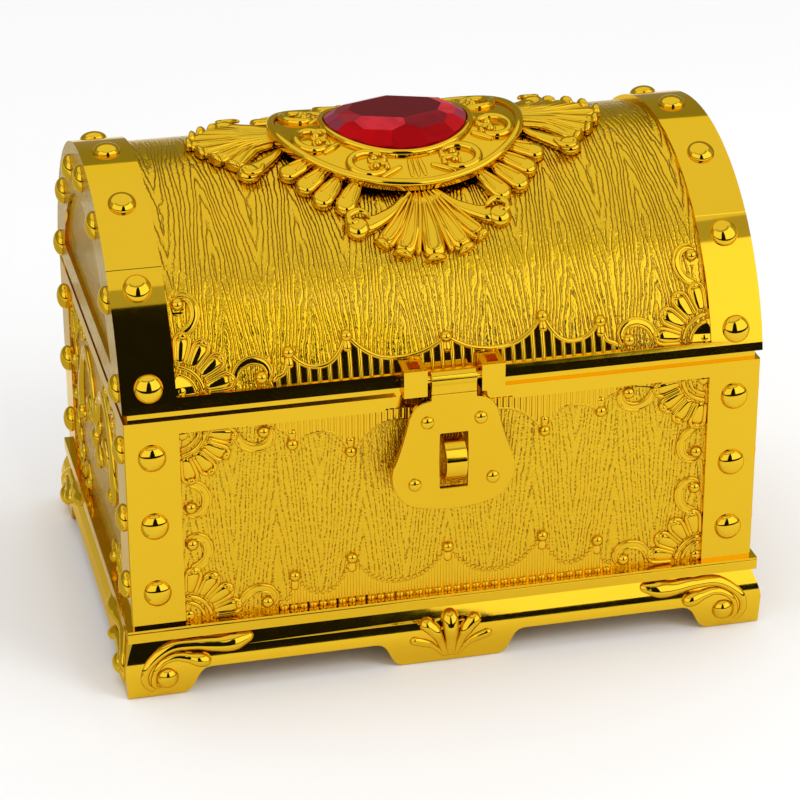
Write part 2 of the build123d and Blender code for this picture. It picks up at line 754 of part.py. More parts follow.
# Hasp: barrel, neck and a pear-shaped plate with a slot for the staple
plate_front = hasp_y - hasp_barrel_radius + running_gap
hasp_shoulder = (hasp_shoulder_width / 2, hasp_z - hasp_shoulder_drop)
hasp_hip = (hasp_hip_width / 2, hasp_z - hasp_hip_drop)
hasp_toe = (hasp_toe_width / 2, hasp_z - hasp_toe_drop)
toe_rise = hasp_length - hasp_toe_drop
hasp_toe_radius = (hasp_toe[0]**2 + toe_rise**2) / (2 * toe_rise)
rivet_planes = [Plane(origin=(side * spread / 2, plate_front, hasp_z - drop), x_dir=(1, 0, 0), z_dir=(0, -1, 0))
                for side in (-1, 1)
                for spread, drop in ((rivet_top_spread, rivet_top_drop), (rivet_low_spread, rivet_low_drop))]
with BuildPart() as hasp_plate:
    with BuildSketch(Plane.XZ.offset(-plate_front)):
        with BuildLine():
            Line((0, hasp_z), (hasp_neck_width / 2, hasp_z))
            Line((hasp_neck_width / 2, hasp_z), (hasp_neck_width / 2, hasp_z - hasp_neck_drop))
            TangentArc((hasp_neck_width / 2, hasp_z - hasp_neck_drop), hasp_shoulder, tangent=(1, 0))
            ThreePointArc(hasp_shoulder, (hasp_waist_width / 2, hasp_z - hasp_waist_drop), hasp_hip)
            ThreePointArc(hasp_hip, (hasp_belly_width / 2, hasp_z - hasp_belly_drop), hasp_toe)
            RadiusArc(hasp_toe, (0, hasp_z - hasp_length), hasp_toe_radius)
            mirror(about=Plane.YZ)
        make_face()
        with Locations((0, staple_z)):
            Rectangle(slot_width, slot_height, mode=Mode.SUBTRACT)
    extrude(amount=-hasp_thickness)
    with BuildSketch(Plane.YZ):
        with Locations((hasp_y, hasp_z)):
            Circle(hasp_barrel_radius)
    extrude(amount=hasp_neck_width / 2, both=True)
    with BuildSketch(Plane.YZ):
        with Locations((hasp_y, hasp_z)):
            Circle(pin_radius + bore_clearance)
    extrude(amount=hasp_neck_width, both=True, mode=Mode.SUBTRACT)
    with BuildSketch(*rivet_planes):
        Rectangle(rivet_shank_width + fit_gap, rivet_shank_width + fit_gap)
    extrude(amount=-(rivet_shank + fit_gap), mode=Mode.SUBTRACT)
save(hasp_plate, "hasp_plate")

rivet_form = dome_stud(rivet_radius, rivet_height, rivet_shank_width, rivet_shank)
with BuildPart() as hasp_rivets:
    with Locations(*rivet_planes):
        add(rivet_form)
save(hasp_rivets, "hasp_rivets")

# Hasp pin through both lid blocks
hasp_pin_length = hasp_block_gap + 2 * hasp_block_width
with BuildPart() as hasp_pin:
    with BuildSketch(Plane.YZ):
        with Locations((hasp_y, hasp_z)):
            Circle(pin_radius)
    extrude(amount=hasp_pin_length / 2, both=True)
save(hasp_pin, "hasp_pin")

# Staple: a half-round loop of strip whose two legs run through the front wall
loop_centre = -half_depth + strap_relief - staple_reach + staple_height / 2
leg_end = -half_depth + strap_relief + staple_root


def staple_outline(radius):
    """Half-round outline open to the wall, closed across the ends of its two legs."""
    with BuildLine() as outline:
        Line((leg_end, staple_z + radius), (loop_centre, staple_z + radius))
        ThreePointArc((loop_centre, staple_z + radius), (loop_centre - radius, staple_z),
                      (loop_centre, staple_z - radius))
        Line((loop_centre, staple_z - radius), (leg_end, staple_z - radius))
        Line((leg_end, staple_z - radius), (leg_end, staple_z + radius))
    return outline.line


with BuildPart() as lock_staple:
    with BuildSketch(Plane.YZ):
        make_face(staple_outline(staple_height / 2).edges())
        make_face(staple_outline(staple_height / 2 - staple_strip).edges(), mode=Mode.SUBTRACT)
    extrude(amount=staple_width / 2, both=True)
save(lock_staple, "lock_staple")

# Dome studs on the box walls, the lid straps and the end arches
stud_groups = {
    "studs_box_front": stud_planes("y", -1),
    "studs_box_back": stud_planes("y", 1),
    "studs_box_left": stud_planes("x", -1),
    "studs_box_right": stud_planes("x", 1),
    "studs_strap_left": strap_planes(-stud_x),
    "studs_strap_right": strap_planes(stud_x),
    "studs_end_left": end_planes(-1),
    "studs_end_right": end_planes(1),
}
stud_form = dome_stud(stud_radius, stud_height, stud_shank_width, stud_shank)
for name, places in stud_groups.items():
    with BuildPart() as stud_group:
        with Locations(*places):
            add(stud_form)
    save(stud_group, name)

# Crest leaves: palmettes, side fans and corner leaves that spring from a plate under the medallion


def turned(angle, length):
    """A step of some length at an angle from the side direction, on the unrolled crest."""
    return Vector(length * cos(radians(angle)), length * sin(radians(angle)))


def bent(outline, low, high):
    """A flat outline over the lid, bent down onto the barrel between two radii."""
    with BuildPart() as form:
        with BuildSketch(Plane.XY.offset(vault_centre)):
            add(outline)
        extrude(amount=2 * high)
        with BuildSketch(Plane.YZ):
            with Locations((0, vault_centre)):
                Circle(high)
                Circle(low, mode=Mode.SUBTRACT)
        extrude(amount=half_length, both=True, mode=Mode.INTERSECT)
    return form.part


def oval(length, width, hole_length=0.0, hole_width=0.0):
    """A flat oval, or an oval ring."""
    with BuildSketch() as outline:
        Ellipse(length / 2, width / 2)
        if hole_length:
            Ellipse(hole_length / 2, hole_width / 2, mode=Mode.SUBTRACT)
    return outline.sketch


def groove(start, finish):
    """A V cut between two lobes, along the barrel from the fan's centre outwards."""
    low = vault_point(start.X, start.Y, leaf_top)
    high = vault_point(finish.X, finish.Y, leaf_top)
    up = vault_point(start.X, start.Y, leaf_top + groove_depth) - low
    side = (high - low).cross(up)
    with BuildPart() as cut:
        with BuildSketch(Plane(origin=low, x_dir=side, z_dir=high - low)):
            Polygon((-groove_width, groove_depth), (groove_width, groove_depth), (0, -groove_depth), align=None)
        extrude(amount=(high - low).length)
    return cut.part


palmette_volutes = (-palmette_volute_angle, palmette_volute_angle)
fan_volutes = (-fan_volute_angle, fan_volute_angle)
lobes = []
grooves = []
for half in (-1, 1):
    palmette_centre = Vector(0, half * (mount_width / 2 - palmette_seat))
    fan_centre = Vector(half * (mount_length / 2 - fan_seat), 0)
    for centre, facing, angles, reach, width in (
        (palmette_centre, half * 90, palmette_angles, palmette_reach, palmette_lobe_width),
        (palmette_centre, half * 90, palmette_volutes, volute_reach, volute_width),
        (fan_centre, 90 - half * 90, fan_angles, fan_reach, fan_lobe_width),
        (fan_centre, 90 - half * 90, fan_volutes, volute_reach, volute_width),
    ):
        lobes += [(centre, centre + turned(facing + angle, reach), width) for angle in angles]
    for centre, facing, angles, reach in (
        (palmette_centre, half * 90, sorted(palmette_angles + palmette_volutes), palmette_reach),
        (fan_centre, 90 - half * 90, sorted(fan_angles + fan_volutes), fan_reach),
    ):
        for low, high in zip(angles, angles[1:]):
            middle = facing + (low + high) / 2
            grooves.append(groove(centre + turned(middle, groove_start), centre + turned(middle, reach)))
    for across in (-1, 1):
        for place, heading in leaf_places:
            root = Vector(across * (mount_length / 2 - leaf_seat) * cos(radians(place)),
                          half * (mount_width / 2 - leaf_seat) * sin(radians(place)))
            step = turned(heading, leaf_reach)
            lobes.append((root, root + Vector(across * step.X, half * step.Y), leaf_width))

with BuildSketch() as crest_outline:
    for root, tip, width in lobes:
        corners = [vault_point(point.X, point.Y, leaf_top) for point in leaf_points(root, tip, width)]
        Polygon(*[(corner.X, corner.Y) for corner in corners], align=None)

crown_limit = collar_top + 2 * gem_rise
with BuildPart() as crest_leaves:
    add(bent(crest_outline.sketch, mount_bottom, leaf_top))
    add(grooves, mode=Mode.SUBTRACT)
    add(bent(oval(mount_length, mount_width), mount_bottom, mount_top))
    add(bent(oval(medallion_length + 2 * fit_gap, medallion_width + 2 * fit_gap), mount_top, crown_limit),
        mode=Mode.SUBTRACT)
    with BuildSketch(Plane.XY.offset(vault_centre)):
        with Locations(*crest_peg_places):
            Circle(crest_peg_radius + fit_gap)
    extrude(amount=crown_limit, mode=Mode.SUBTRACT)
save(crest_leaves, "crest_leaves")

# Medallion: oval dish with a raised rim, a collar round the gem and two pegs down through the lid
peg_top = vault_centre + medallion_bottom + gem_floor
peg_bottom = vault_centre + inner_radius - crest_peg_end
with BuildPart() as medallion:
    rim = oval(medallion_length, medallion_width,
               medallion_length - 2 * medallion_rim, medallion_width - 2 * medallion_rim)
    add(bent(oval(medallion_length, medallion_width), medallion_bottom, medallion_field))
    add(bent(rim, medallion_bottom, medallion_field + rim_rise))
    add(bent(oval(collar_length, collar_width), medallion_bottom, collar_top))
    add(bent(oval(gem_length + 2 * fit_gap, gem_width + 2 * fit_gap), gem_pocket, crown_limit),
        mode=Mode.SUBTRACT)
    with BuildSketch(Plane.XY.offset(peg_top)):
        with Locations(*crest_peg_places):
            Circle(crest_peg_radius)
    extrude(amount=peg_bottom - peg_top)
save(medallion, "medallion")

# Push-on nuts that hold the medallion's pegs inside the lid
with BuildPart() as crest_push_nuts:
    with BuildSketch(Plane.XY.offset(vault_centre + inner_radius - fit_gap)):
        with Locations(*crest_peg_places):
            RegularPolygon(push_nut_radius, dome_sides)
            Circle(crest_peg_radius + bore_clearance, mode=Mode.SUBTRACT)
    extrude(amount=-push_nut_thickness)
save(crest_push_nuts, "crest_push_nuts")

# Gem: an oval block with a back bent over the barrel and a crown of flat cuts


def gem_point(angle, share, lift):
    """Point on the crown between the girdle and the table at an angle round the gem."""
    table_x = gem_table_length / 2 * cos(angle)
    table_y = gem_table_width / 2 * sin(angle)
    girdle_x = gem_length / 2 * cos(angle)
    girdle_y = gem_width / 2 * sin(angle)
    girdle_z = vault_centre + sqrt(gem_girdle**2 - girdle_y**2)
    return Vector(
        girdle_x + (table_x - girdle_x) * share,
        girdle_y + (table_y - girdle_y) * share,
        girdle_z + (gem_table - girdle_z) * lift,
    )


def facet_plane(angle, low, high):
    """Plane of one cut, square to the gem's outline, through two points of its crown."""
    along = Vector(-gem_length * sin(angle), gem_width * cos(angle), 0)
    start = gem_point(angle, *low)
    rise = gem_point(angle, *high) - start
    return Plane(origin=start, x_dir=along, z_dir=along.cross(rise))


girdle_level = (0.0, 0.0)
star_level = (gem_star_share, gem_star_lift)
table_level = (1.0, 1.0)
with BuildPart() as gem:
    add(bent(oval(gem_length, gem_width), gem_back, crown_limit))
    with BuildSketch(Plane.XY.offset(gem_table)):
        Rectangle(gem_length, gem_width)
    extrude(amount=crown_limit, mode=Mode.SUBTRACT)
    for step in range(gem_facets):
        split(bisect_by=facet_plane(2 * pi * step / gem_facets, girdle_level, star_level), keep=Keep.BOTTOM)
    for step in range(gem_star_facets):
        split(bisect_by=facet_plane(2 * pi * (step + 0.5) / gem_star_facets, star_level, table_level),
              keep=Keep.BOTTOM)
save(gem, "gem")
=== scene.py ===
import json
import math

import bmesh
import bpy
from mathutils import Matrix, Vector


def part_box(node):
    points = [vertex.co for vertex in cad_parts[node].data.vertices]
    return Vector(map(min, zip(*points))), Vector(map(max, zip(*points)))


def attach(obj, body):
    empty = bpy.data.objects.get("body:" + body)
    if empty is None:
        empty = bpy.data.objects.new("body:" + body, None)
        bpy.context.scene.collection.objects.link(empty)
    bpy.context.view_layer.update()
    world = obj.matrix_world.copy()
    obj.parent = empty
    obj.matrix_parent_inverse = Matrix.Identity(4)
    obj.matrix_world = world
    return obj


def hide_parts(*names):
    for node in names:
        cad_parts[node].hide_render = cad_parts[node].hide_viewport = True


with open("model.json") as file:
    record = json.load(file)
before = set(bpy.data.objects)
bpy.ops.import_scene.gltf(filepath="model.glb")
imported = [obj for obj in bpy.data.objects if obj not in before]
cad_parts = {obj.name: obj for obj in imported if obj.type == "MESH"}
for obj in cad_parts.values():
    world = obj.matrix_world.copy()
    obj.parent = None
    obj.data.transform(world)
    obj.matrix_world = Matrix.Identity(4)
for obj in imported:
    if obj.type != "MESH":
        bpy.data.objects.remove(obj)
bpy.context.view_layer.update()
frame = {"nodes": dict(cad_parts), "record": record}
mm = 0.001  # the lengths below are in millimetres, the scene is in metres


# node helpers: a wire is a socket that takes part in sums


class Wire:
    def __init__(self, tree, socket):
        self.tree, self.socket = tree, socket

    def math(self, operation, *others, first=None):
        node = self.tree.nodes.new("ShaderNodeMath")
        node.operation = operation
        terms = [self, *others] if first is None else [first, self]
        for place, term in zip(node.inputs, terms):
            joinSocket(self.tree, place, term)
        return Wire(self.tree, node.outputs[0])

    def __add__(self, other): return self.math("ADD", other)
    def __sub__(self, other): return self.math("SUBTRACT", other)
    def __rsub__(self, other): return self.math("SUBTRACT", first=other)
    def __mul__(self, other): return self.math("MULTIPLY", other)
    def __truediv__(self, other): return self.math("DIVIDE", other)
    def __neg__(self): return self.math("MULTIPLY", -1.0)
    def __pow__(self, other): return self.math("POWER", other)


def joinSocket(tree, socket, value):
    if isinstance(value, Wire):
        tree.links.new(value.socket, socket)
    elif value is not None:
        socket.default_value = value


class Nodes:
    def __init__(self, tree):
        self.tree = tree

    def add(self, kind, sockets=None, settings=None, out=0):
        node = self.tree.nodes.new(kind)
        for name, value in (settings or {}).items():
            setattr(node, name, value)
        for name, value in (sockets or {}).items():
            joinSocket(self.tree, node.inputs[name], value)
        return Wire(self.tree, node.outputs[out]) if node.outputs else node

    def shade(self, kind, *rest, **more):
        return self.add("ShaderNode" + kind, *rest, **more)

    def form(self, kind, *rest, **more):
        return self.add("GeometryNode" + kind, *rest, **more)

    def combine(self, x, y, z=0.0):
        return self.shade("CombineXYZ", {"X": x, "Y": y, "Z": z})

    def split(self, place):
        node = self.tree.nodes.new("ShaderNodeSeparateXYZ")
        joinSocket(self.tree, node.inputs[0], place)
        return [Wire(self.tree, socket) for socket in node.outputs]

    def noise(self, place, scale, detail=2.0, distortion=0.0):
        looks = {"Scale": scale, "Detail": detail, "Distortion": distortion}
        return self.shade("TexNoise", {"Vector": place, **looks})

    def flatNoise(self, across, along, distortion=0.0):
        return self.noise(self.combine(across, along), 1.0, 2.0, distortion)

    def blendColours(self, share, first, second):
        settings = {"data_type": "RGBA", "blend_type": "MIX"}
        return self.shade("Mix", {"Factor": share, 6: first, 7: second}, settings, out=2)

    def given(self, label):
        return Wire(self.tree, self.tree.nodes.new("NodeGroupInput").outputs[label])

    def named(self, label, kind="FLOAT"):
        return self.form("InputNamedAttribute", {"Name": label}, {"data_type": kind})


def grey(level):
    return (level, level, level, 1.0)


def linear(red, green, blue):
    # a colour as the eye reads it, 0 to 255, turned into light
    parts = [channel / 255 for channel in (red, green, blue)]
    return (*[c / 12.92 if c <= 0.04045 else ((c + 0.055) / 1.055) ** 2.4 for c in parts], 1.0)


# sizes of the chest in millimetres; the top of the lid is read from the frame

chest = {
    "halfLength": 80.0,
    "halfDepth": 55.6,
    "panelBottom": 18.2,
    "panelTop": 69.9,
    "panelInset": 1.2,
    "strapWidth": 13.3,
    "lidFoot": 76.0,
    "lidLean": 0.35,
    "springHeight": 2.1,
}
skirt = {"base": 2.1, "lip": 7.6, "lipOut": 2.5, "height": 7.3, "neckIn": 2.6, "swell": 0.338}

halfLength, halfDepth, lidFoot = chest["halfLength"], chest["halfDepth"], chest["lidFoot"]
panelBottom, panelTop = chest["panelBottom"], chest["panelTop"]
panelReach, sideReach = halfDepth - chest["panelInset"], halfLength - chest["panelInset"]
panelEdge, sideEdge = halfLength - chest["strapWidth"], halfDepth - chest["strapWidth"]
lidTop = (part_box("lid_shell")[1] / mm).z
vaultRise = lidTop - (lidFoot + chest["springHeight"])
vaultRadius = (halfDepth**2 + vaultRise**2) / (2 * vaultRise)
vaultCentre = lidTop - vaultRadius
panelRadius = vaultRadius - chest["panelInset"]
skirtTop = skirt["lip"] + skirt["height"]
grainFoot = lidFoot + 3.25  # the barrel's grain starts here
both = (1, -1)


def onCircle(reach, degrees):
    turn = math.radians(degrees)
    return reach * math.cos(turn), reach * math.sin(turn)


# surfaces: u runs to the viewer's right, v up, h out of the surface


def wallSurface(right, outward, reach, outAt=lambda height: 0.0):
    def place(u, v, h):
        return right * u + Vector((0, 0, v)) + outward * (reach + outAt(v) + h)
    return place


def vaultSurface(radius):
    def place(u, v, h):
        angle = -v / vaultRadius
        return Vector((u, -(radius + h) * math.sin(angle), vaultCentre + (radius + h) * math.cos(angle)))
    return place


def plinthOut(height):
    # how far the plinth's face stands out of the box wall above it: base, lip and swelling skirt
    if height < skirt["lip"]:
        return skirt["base"] + (skirt["lipOut"] - skirt["base"]) * height / skirt["lip"]
    share = min((height - skirt["lip"]) / skirt["height"], 1.0)
    return skirt["lipOut"] - skirt["neckIn"] * share + skirt["swell"] * 4 * share * (1 - share)


east, north, up = Vector((1, 0, 0)), Vector((0, 1, 0)), Vector((0, 0, 1))
frontPanel = wallSurface(east, -north, panelReach)
leftPanel = wallSurface(-north, -east, sideReach)
lidPanel = vaultSurface(panelRadius)
frontPlinth = wallSurface(east, -north, halfDepth, plinthOut)
leftPlinth = wallSurface(-north, -east, halfLength, plinthOut)


# gold finishes

gold = {
    "colour": linear(228, 186, 34),
    "warm": linear(216, 166, 20),
    # deep brown that grooves and cut lines are darkened towards, as painted shade
    "shade": linear(104, 74, 6),
    # painted shade on the end panels: a share and the greyer, darker gold mixed in
    "paintedSideShade": (0.55, linear(176, 148, 104)),
    "tint": (0.97, 0.82, 0.36, 1.0),
    "roughness": 0.045,
    "lacquer": 0.14,
    "ripple": 0.000012,
}
grain = {
    "linePitch": 1.12,
    "repeat": 21.6,
    "slant": 0.095,
    # shade is how far the lines are darkened as painted shade
    "lid": {"lineWidth": 0.17, "wander": 4.6, "depth": 0.00027, "shade": 0.3},
    "wall": {"lineWidth": 0.23, "wander": 3.4, "depth": 0.00017, "shade": 0.62},
}
# one cut line on a plain finish: where it runs, its half width in millimetres, its depth in metres; shade is
# painted shade in the line, with warmth and roughness where given
scribed = {
    "gold_lid_strap": {"at": 43.5, "width": 0.22, "depth": 0.00012},
    "gold_plinth": {"at": 17.5, "width": 0.16, "depth": 0.0001, "shade": 0.6},
    "gold_hasp": {"at": 75.0, "width": 0.22, "depth": 0.00015, "warmth": 0.6, "roughness": 0.085, "shade": 0.5},
}


def newFinish(name):
    material = bpy.data.materials.new(name)
    material.use_nodes = True
    material.node_tree.nodes.clear()
    nodes = Nodes(material.node_tree)
    return material, nodes, nodes.shade("TexCoord", out=3)


def surfaceOut(nodes, sockets, kind="BsdfPrincipled"):
    nodes.shade("OutputMaterial", {"Surface": nodes.shade(kind, sockets)})


def goldShader(nodes, place, height=None, depth=0.0001, warmth=0.35, roughness=None, shade=None, sideShadeMix=None):
    # plated plastic: a mirror with slow colour drift, hazy patches and a faint ripple under lacquer; shade
    # darkens the colour as painted shade in grooves and cut lines
    drift, haze = nodes.noise(place, 28.0, 3.0), nodes.noise(place, 240.0, 4.0)
    colour = nodes.blendColours(drift * warmth, gold["colour"], gold["warm"])
    # painted shade on the end panels
    if sideShadeMix is not None:
        colour = nodes.blendColours(sideShadeMix[0], colour, sideShadeMix[1])
    # painted shade: the colour darkened towards deep brown where shade is given
    if shade is not None:
        colour = nodes.blendColours(shade, colour, gold["shade"])
    sheen = haze * 0.07 + (gold["roughness"] - 0.02 if roughness is None else roughness)
    waves = nodes.noise(place, 150.0) + nodes.noise(place, 2600.0) * 0.12
    bump = nodes.shade("Bump", {"Strength": 0.5, "Distance": gold["ripple"], "Height": waves})
    if height is not None:
        bump = nodes.shade("Bump", {"Strength": 1.0, "Distance": depth, "Height": height, "Normal": bump})
    surfaceOut(nodes, {
        "Base Color": colour, "Metallic": 1.0, "Roughness": sheen, "Normal": bump,
        "Coat Weight": gold["lacquer"], "Coat Roughness": 0.03, "Specular Tint": gold["tint"],
    })


def clamped(value):
    return value.math("MAXIMUM", 0.0).math("MINIMUM", 1.0)


def smoothRise(value):
    # 0 below 0, 1 above 1 and an S curve between
    share = clamped(value)
    return share * share * (3.0 - share * 2.0)


def arcLength(y, z):
    # millimetres round the barrel from its top, to the front
    return (-y).math("ARCTAN2", z - vaultCentre * mm) * vaultRadius


def grainLines(nodes, across, along, wander):
    # cut lines of wood grain with nested arches and Vs that come back along the chest, in millimetres
    turn = across * (math.tau / grain["repeat"])
    waver = nodes.noise(nodes.combine(turn.math("COSINE") * 0.75, turn.math("SINE") * 0.75, along * 0.05), 1.0)
    edge = nodes.flatNoise(across * 0.9, along * 0.55)
    dome = (1.0 - turn.math("COSINE")) * grain["repeat"] * 0.075
    arch = across.math("PINGPONG", grain["repeat"] / 2) * 0.7 + dome
    field = arch + along * grain["slant"] + waver * wander + edge * 0.55
    return (field / grain["linePitch"]).math("PINGPONG", 0.5)


def wallFinish(name, onSide):
    # shallow lines broken into rows of pores, over fine pebbles; the pores are darkened as painted shade
    material, nodes, place = newFinish(name)
    look = grain["wall"]
    x, y, z = nodes.split(place)
    across, along = (y if onSide else x) / mm, z / mm
    near = grainLines(nodes, across, along, look["wander"])
    broken = clamped((nodes.flatNoise(across * 1.4, along * 1.5, 0.4) - 0.49) * 9.0)
    pore = (1.0 - smoothRise(near / look["lineWidth"])) * (broken * 0.8 + 0.2)
    thread, pebbles = nodes.flatNoise(across * 2.1, along * 0.16), nodes.flatNoise(across * 2.4, along * 1.7)
    height = thread * 1.5 + pebbles * 1.0 - pore * 1.0
    # the end panels get painted shade
    sideShadeMix = gold["paintedSideShade"] if onSide else None
    goldShader(nodes, place, height, look["depth"], 0.5, 0.1, pore * look["shade"], sideShadeMix)
    return material


def lidFinish(name):
    # crowned ridges between deeper lines, with painted shade darkening the lines
    material, nodes, place = newFinish(name)
    look = grain["lid"]
    x, y, z = nodes.split(place)
    across, along = x / mm, arcLength(y, z)
    near = grainLines(nodes, across, along, look["wander"])
    pits = nodes.flatNoise(across * 2.2, along * 1.1)
    rise = smoothRise(near / look["lineWidth"])
    crown = 1.0 - (1.0 - near * 2.0) ** 2.0
    height = rise * 0.45 + crown * 0.55 + pits * 0.4
    goldShader(nodes, place, height, look["depth"], 0.5, 0.07, (1.0 - rise) * look["shade"])
    return material


def plainFinish(name, warmth=0.3, roughness=None):
    material, nodes, place = newFinish(name)
    goldShader(nodes, place, warmth=warmth, roughness=roughness)
    return material


def scribedFinish(name, onLid=False):
    # plain, with a line at one height or at one distance from the top of the barrel; where shade is given, the
    # line is darkened as painted shade
    material, nodes, place = newFinish(name)
    look = scribed[name]
    x, y, z = nodes.split(place)
    along = arcLength(y, z).math("ABSOLUTE") if onLid else z / mm
    line = 1.0 - ((along - look["at"]).math("ABSOLUTE") / look["width"]).math("MINIMUM", 1.0)
    shade = line * look["shade"] if "shade" in look else None
    goldShader(nodes, place, -line, look["depth"], look.get("warmth", 0.35), look.get("roughness"), shade)
    return material


goldStrap = plainFinish("gold_strap")
goldHasp = scribedFinish("gold_hasp")
goldLidStrap = scribedFinish("gold_lid_strap", onLid=True)
goldPlinth = scribedFinish("gold_plinth")
goldRelief = plainFinish("gold_relief", 0.45, 0.03)
goldStud = plainFinish("gold_stud", 0.2, 0.015)
goldInside = plainFinish("gold_inside", 0.8, 0.13)
frontGrain = wallFinish("gold_front_grain", False)
# the end grain carries painted shade
sideGrainPaintedShade = wallFinish("gold_side_grain", True)
lidGrain = lidFinish("gold_lid_grain")
print("finishes made")


# steel and the gem

# facet colours that stand in for reflections and shade in the stone: painted reflection and painted shade
gemLook = {
    "table": linear(92, 0, 5),
    "star": linear(196, 40, 50),
    "side": linear(168, 66, 84),
    "band": linear(176, 2, 8),
    "deep": linear(70, 0, 4),
    "roughness": 0.02,
    "gloss": 0.04,
}


def steelFinish(name):
    material, nodes, place = newFinish(name)
    drawn = nodes.shade("VectorMath", {0: place, 1: (900.0, 4200.0, 4200.0)}, {"operation": "MULTIPLY"})
    brushed = nodes.noise(drawn, 1.0, 3.0)
    tint = nodes.blendColours(brushed, linear(176, 178, 182), linear(206, 208, 210))
    bump = nodes.shade("Bump", {"Strength": 0.4, "Distance": 0.00002, "Height": brushed})
    surfaceOut(nodes, {"Base Color": tint, "Metallic": 1.0, "Roughness": brushed * 0.2 + 0.18, "Normal": bump})
    return material


def gemFinish(name):
    # dark red glass over a foil, with faint clouds; the facet colours are painted reflection and painted shade,
    # lighter towards the girdle
    material, nodes, place = newFinish(name)
    cloud = nodes.noise(place, 150.0, 3.0, 0.8)
    facet = nodes.shade("Attribute", {}, {"attribute_name": "facetColour"})
    colour = nodes.blendColours(clamped((cloud - 0.45) * 2.2) * 0.5, facet, gemLook["deep"])
    sheen = cloud * 0.02 + gemLook["roughness"]
    surfaceOut(nodes, {
        "Base Color": colour, "Roughness": sheen, "IOR": 1.5, "Specular IOR Level": gemLook["gloss"],
    })
    return material


steel = steelFinish("brushed_steel")
redGem = gemFinish("red_gem")


# pieces made from the frame's own meshes, with eased edges


def finishPiece(obj, body, nodes=()):
    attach(obj, body)
    if nodes:
        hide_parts(*nodes)
    return obj


def nodeBody(node):
    bodies = frame["record"]["behaviour"]["bodies"]
    return next(body for body, members in bodies.items() if node in members)


def addObject(name, mesh):
    obj = bpy.data.objects.new(name, mesh)
    bpy.context.collection.objects.link(obj)
    return obj


def smoothMesh(name, shape, sharp, finishes):
    for face in shape.faces:
        face.smooth = True
    mesh = bpy.data.meshes.new(name)
    shape.to_mesh(mesh)
    shape.free()
    for finish in finishes:
        mesh.materials.append(finish)
    mesh.set_sharp_from_angle(angle=math.radians(sharp))
    return mesh


def bakedMesh(obj):
    bpy.context.view_layer.update()
    return bpy.data.meshes.new_from_object(obj.evaluated_get(bpy.context.evaluated_depsgraph_get()))


def settleNormals(obj, curved=None):
    # bakes the eased edges, then gives flat faces and known curves the normals of the true surface
    mesh = bakedMesh(obj)
    obj.modifiers.clear()
    normals = [Vector(corner.vector) for corner in mesh.corner_normals]
    for face in mesh.polygons:
        flat = max(abs(part) for part in face.normal) > 0.9998
        for corner in face.loop_indices:
            spot = mesh.vertices[mesh.loops[corner].vertex_index].co / mm
            better = curved(spot, face.normal) if curved else None
            if better is None and flat:
                better = Vector([round(part) for part in face.normal])
            if better is not None:
                normals[corner] = better
    mesh.normals_split_custom_set(normals)
    obj.data = mesh


def vaultNormal(spot, faceNormal):
    # outward from the middle of the barrel, on the straps and the panel
    outward = Vector((0, spot.y, spot.z - vaultCentre))
    if outward.length < panelRadius - 0.3 or spot.z < lidFoot + 2.2:
        return None
    outward.normalize()
    return outward if outward.dot(faceNormal) > 0.985 else None


def skirtNormal(spot, faceNormal):
    # square to the swelling of the skirt, and rounding softly over its lip onto the base
    onFront = abs(faceNormal.y) > abs(faceNormal.x)
    across, wall = (spot.y, halfDepth) if onFront else (spot.x, halfLength)
    out = abs(across) - wall - plinthOut(spot.z)
    if spot.z > skirtTop + 0.05 or abs(faceNormal.z) > 0.75 or abs(out) > 0.12:
        return None
    share = max(0.0, (spot.z - skirt["lip"]) / skirt["height"])
    lean = (skirt["neckIn"] - skirt["swell"] * 4 * (1 - 2 * share)) / skirt["height"]
    if spot.z < skirt["lip"]:
        low = spot.z / skirt["lip"]
        lean = lean * low * low - 0.05 * (1 - low)
    if onFront:
        return Vector((0, math.copysign(1, faceNormal.y), lean)).normalized()
    return Vector((math.copysign(1, faceNormal.x), 0, lean)).normalized()


weld, sharpAngle = 0.004 * mm, 28


def dressNode(
    node, name, finishes, choose=None, bevel=0.25, segments=2, press=None, curved=None, cut=None
):
    # press moves points, choose gives each face its finish, cut is a height that splits the faces
    shape = bmesh.new()
    shape.from_mesh(frame["nodes"][node].data)
    bmesh.ops.remove_doubles(shape, verts=shape.verts, dist=weld)
    if press:
        for vertex in shape.verts:
            vertex.co = press(vertex.co / mm) * mm
        bmesh.ops.remove_doubles(shape, verts=shape.verts, dist=weld)
        bmesh.ops.dissolve_degenerate(shape, dist=weld, edges=shape.edges)
        shape.normal_update()
    bmesh.ops.dissolve_limit(
        shape, angle_limit=math.radians(0.6), verts=shape.verts, edges=shape.edges, delimit={"NORMAL"}
    )
    if cut:
        every = [*shape.verts, *shape.edges, *shape.faces]
        bmesh.ops.bisect_plane(shape, geom=every, plane_co=(0, 0, cut * mm), plane_no=(0, 0, 1))
    shape.normal_update()
    if choose:
        for face in shape.faces:
            face.material_index = choose(face.calc_center_median() / mm, face.normal)
    obj = addObject(name, smoothMesh(name, shape, sharpAngle, finishes))
    edge = obj.modifiers.new("easedEdges", "BEVEL")
    edge.width, edge.segments, edge.limit_method = bevel * mm, segments, "ANGLE"
    edge.angle_limit, edge.harden_normals = math.radians(sharpAngle), True
    edge.miter_outer = "MITER_ARC"
    settleNormals(obj, curved)
    return finishPiece(obj, nodeBody(node), [node])


